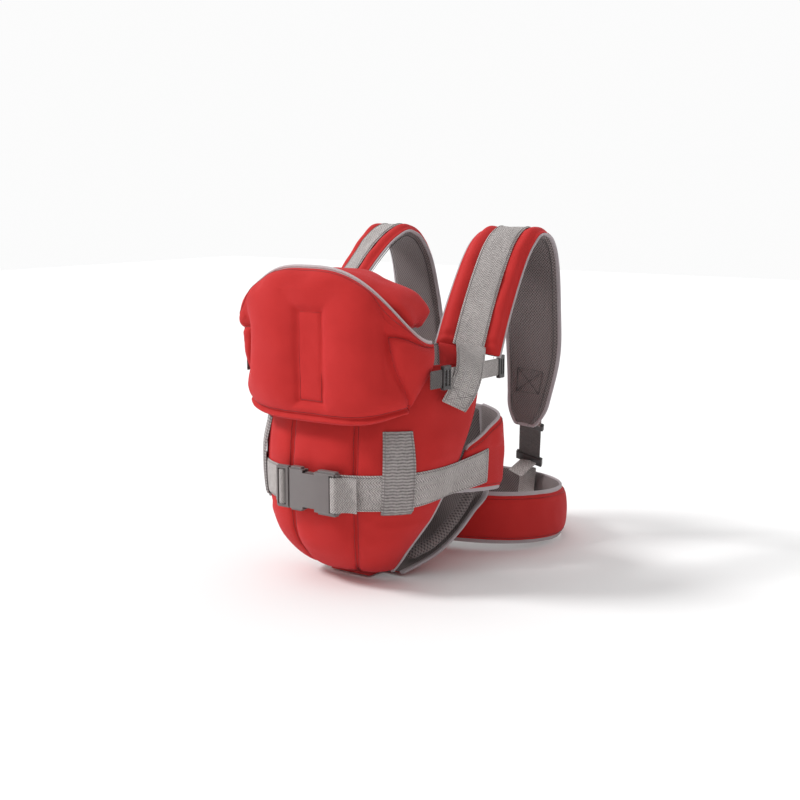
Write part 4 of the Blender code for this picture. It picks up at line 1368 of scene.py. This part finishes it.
CAMERA_AZIMUTH = math.radians(36)
CAMERA_ELEVATION = math.radians(9.25)
CAMERA_DISTANCE = 2.0
FLOOR_HALF = 6
target = Vector((0, 0.17 - ORIGIN_Y, 0.238))
back = Vector((math.sin(CAMERA_AZIMUTH) * math.cos(CAMERA_ELEVATION),
               -math.cos(CAMERA_AZIMUTH) * math.cos(CAMERA_ELEVATION), math.sin(CAMERA_ELEVATION)))
camera_data = bpy.data.cameras.new("camera")
camera_data.lens = 60
camera_data.sensor_width = 36
camera = bpy.data.objects.new("camera", camera_data)
bpy.context.scene.collection.objects.link(camera)
camera.location = target + back * CAMERA_DISTANCE
camera.rotation_euler = (-back).to_track_quat("-Z", "Y").to_euler()
bpy.context.scene.camera = camera


def studio_material(name, colour):
    material, tree, shader = start_material(name, 0.9, 0.1)
    faint = noise(tree, 3.0, 2.0)
    coloured(tree, shader, faint, colour, shaded(colour, 0.985))
    return material


floor_mesh = bpy.data.meshes.new("floor")
floor_corners = [(x * FLOOR_HALF, y * FLOOR_HALF, 0) for x, y in ((-1, -1), (1, -1), (1, 1), (-1, 1))]
floor_mesh.from_pydata(floor_corners, [], [(0, 1, 2, 3)])
floor_mesh.materials.append(studio_material("floor_paper", (0.93, 0.93, 0.93)))
floor = bpy.data.objects.new("floor", floor_mesh)
floor.location.z = -0.0012
bpy.context.scene.collection.objects.link(floor)

world = bpy.data.worlds.new("studio")
world.use_nodes = True
sky = world.node_tree
generated = node(sky, "ShaderNodeTexCoord").outputs["Generated"]
direction = node(sky, "ShaderNodeSeparateXYZ", {0: generated}).outputs
sky.nodes["Background"].inputs["Color"].default_value = (1.0, 1.0, 1.0, 1)
glow = mul_add(sky, direction[0], -0.46, 0.40)
glow = mul_add(sky, direction[1], 0.20, glow)
glow = mul_add(sky, direction[2], 0.62, glow)
level = calc(sky, "ABSOLUTE", direction[2])
band = ranged(sky, level, 0.15, 0.24, 0.97, 0.0)
glow = calc(sky, "MINIMUM", calc(sky, "MAXIMUM", glow, band), 1.0)
sky.links.new(glow, sky.nodes["Background"].inputs["Strength"])
bpy.context.scene.world = world
bpy.context.scene.view_settings.view_transform = "Standard"

key_data = bpy.data.lights.new("key", "SUN")
key_data.energy = 1.9
key_data.angle = math.radians(14)
key = bpy.data.objects.new("key", key_data)
bpy.context.scene.collection.objects.link(key)
key.rotation_euler = Vector((-0.60, -0.42, 0.68)).to_track_quat("Z", "Y").to_euler()
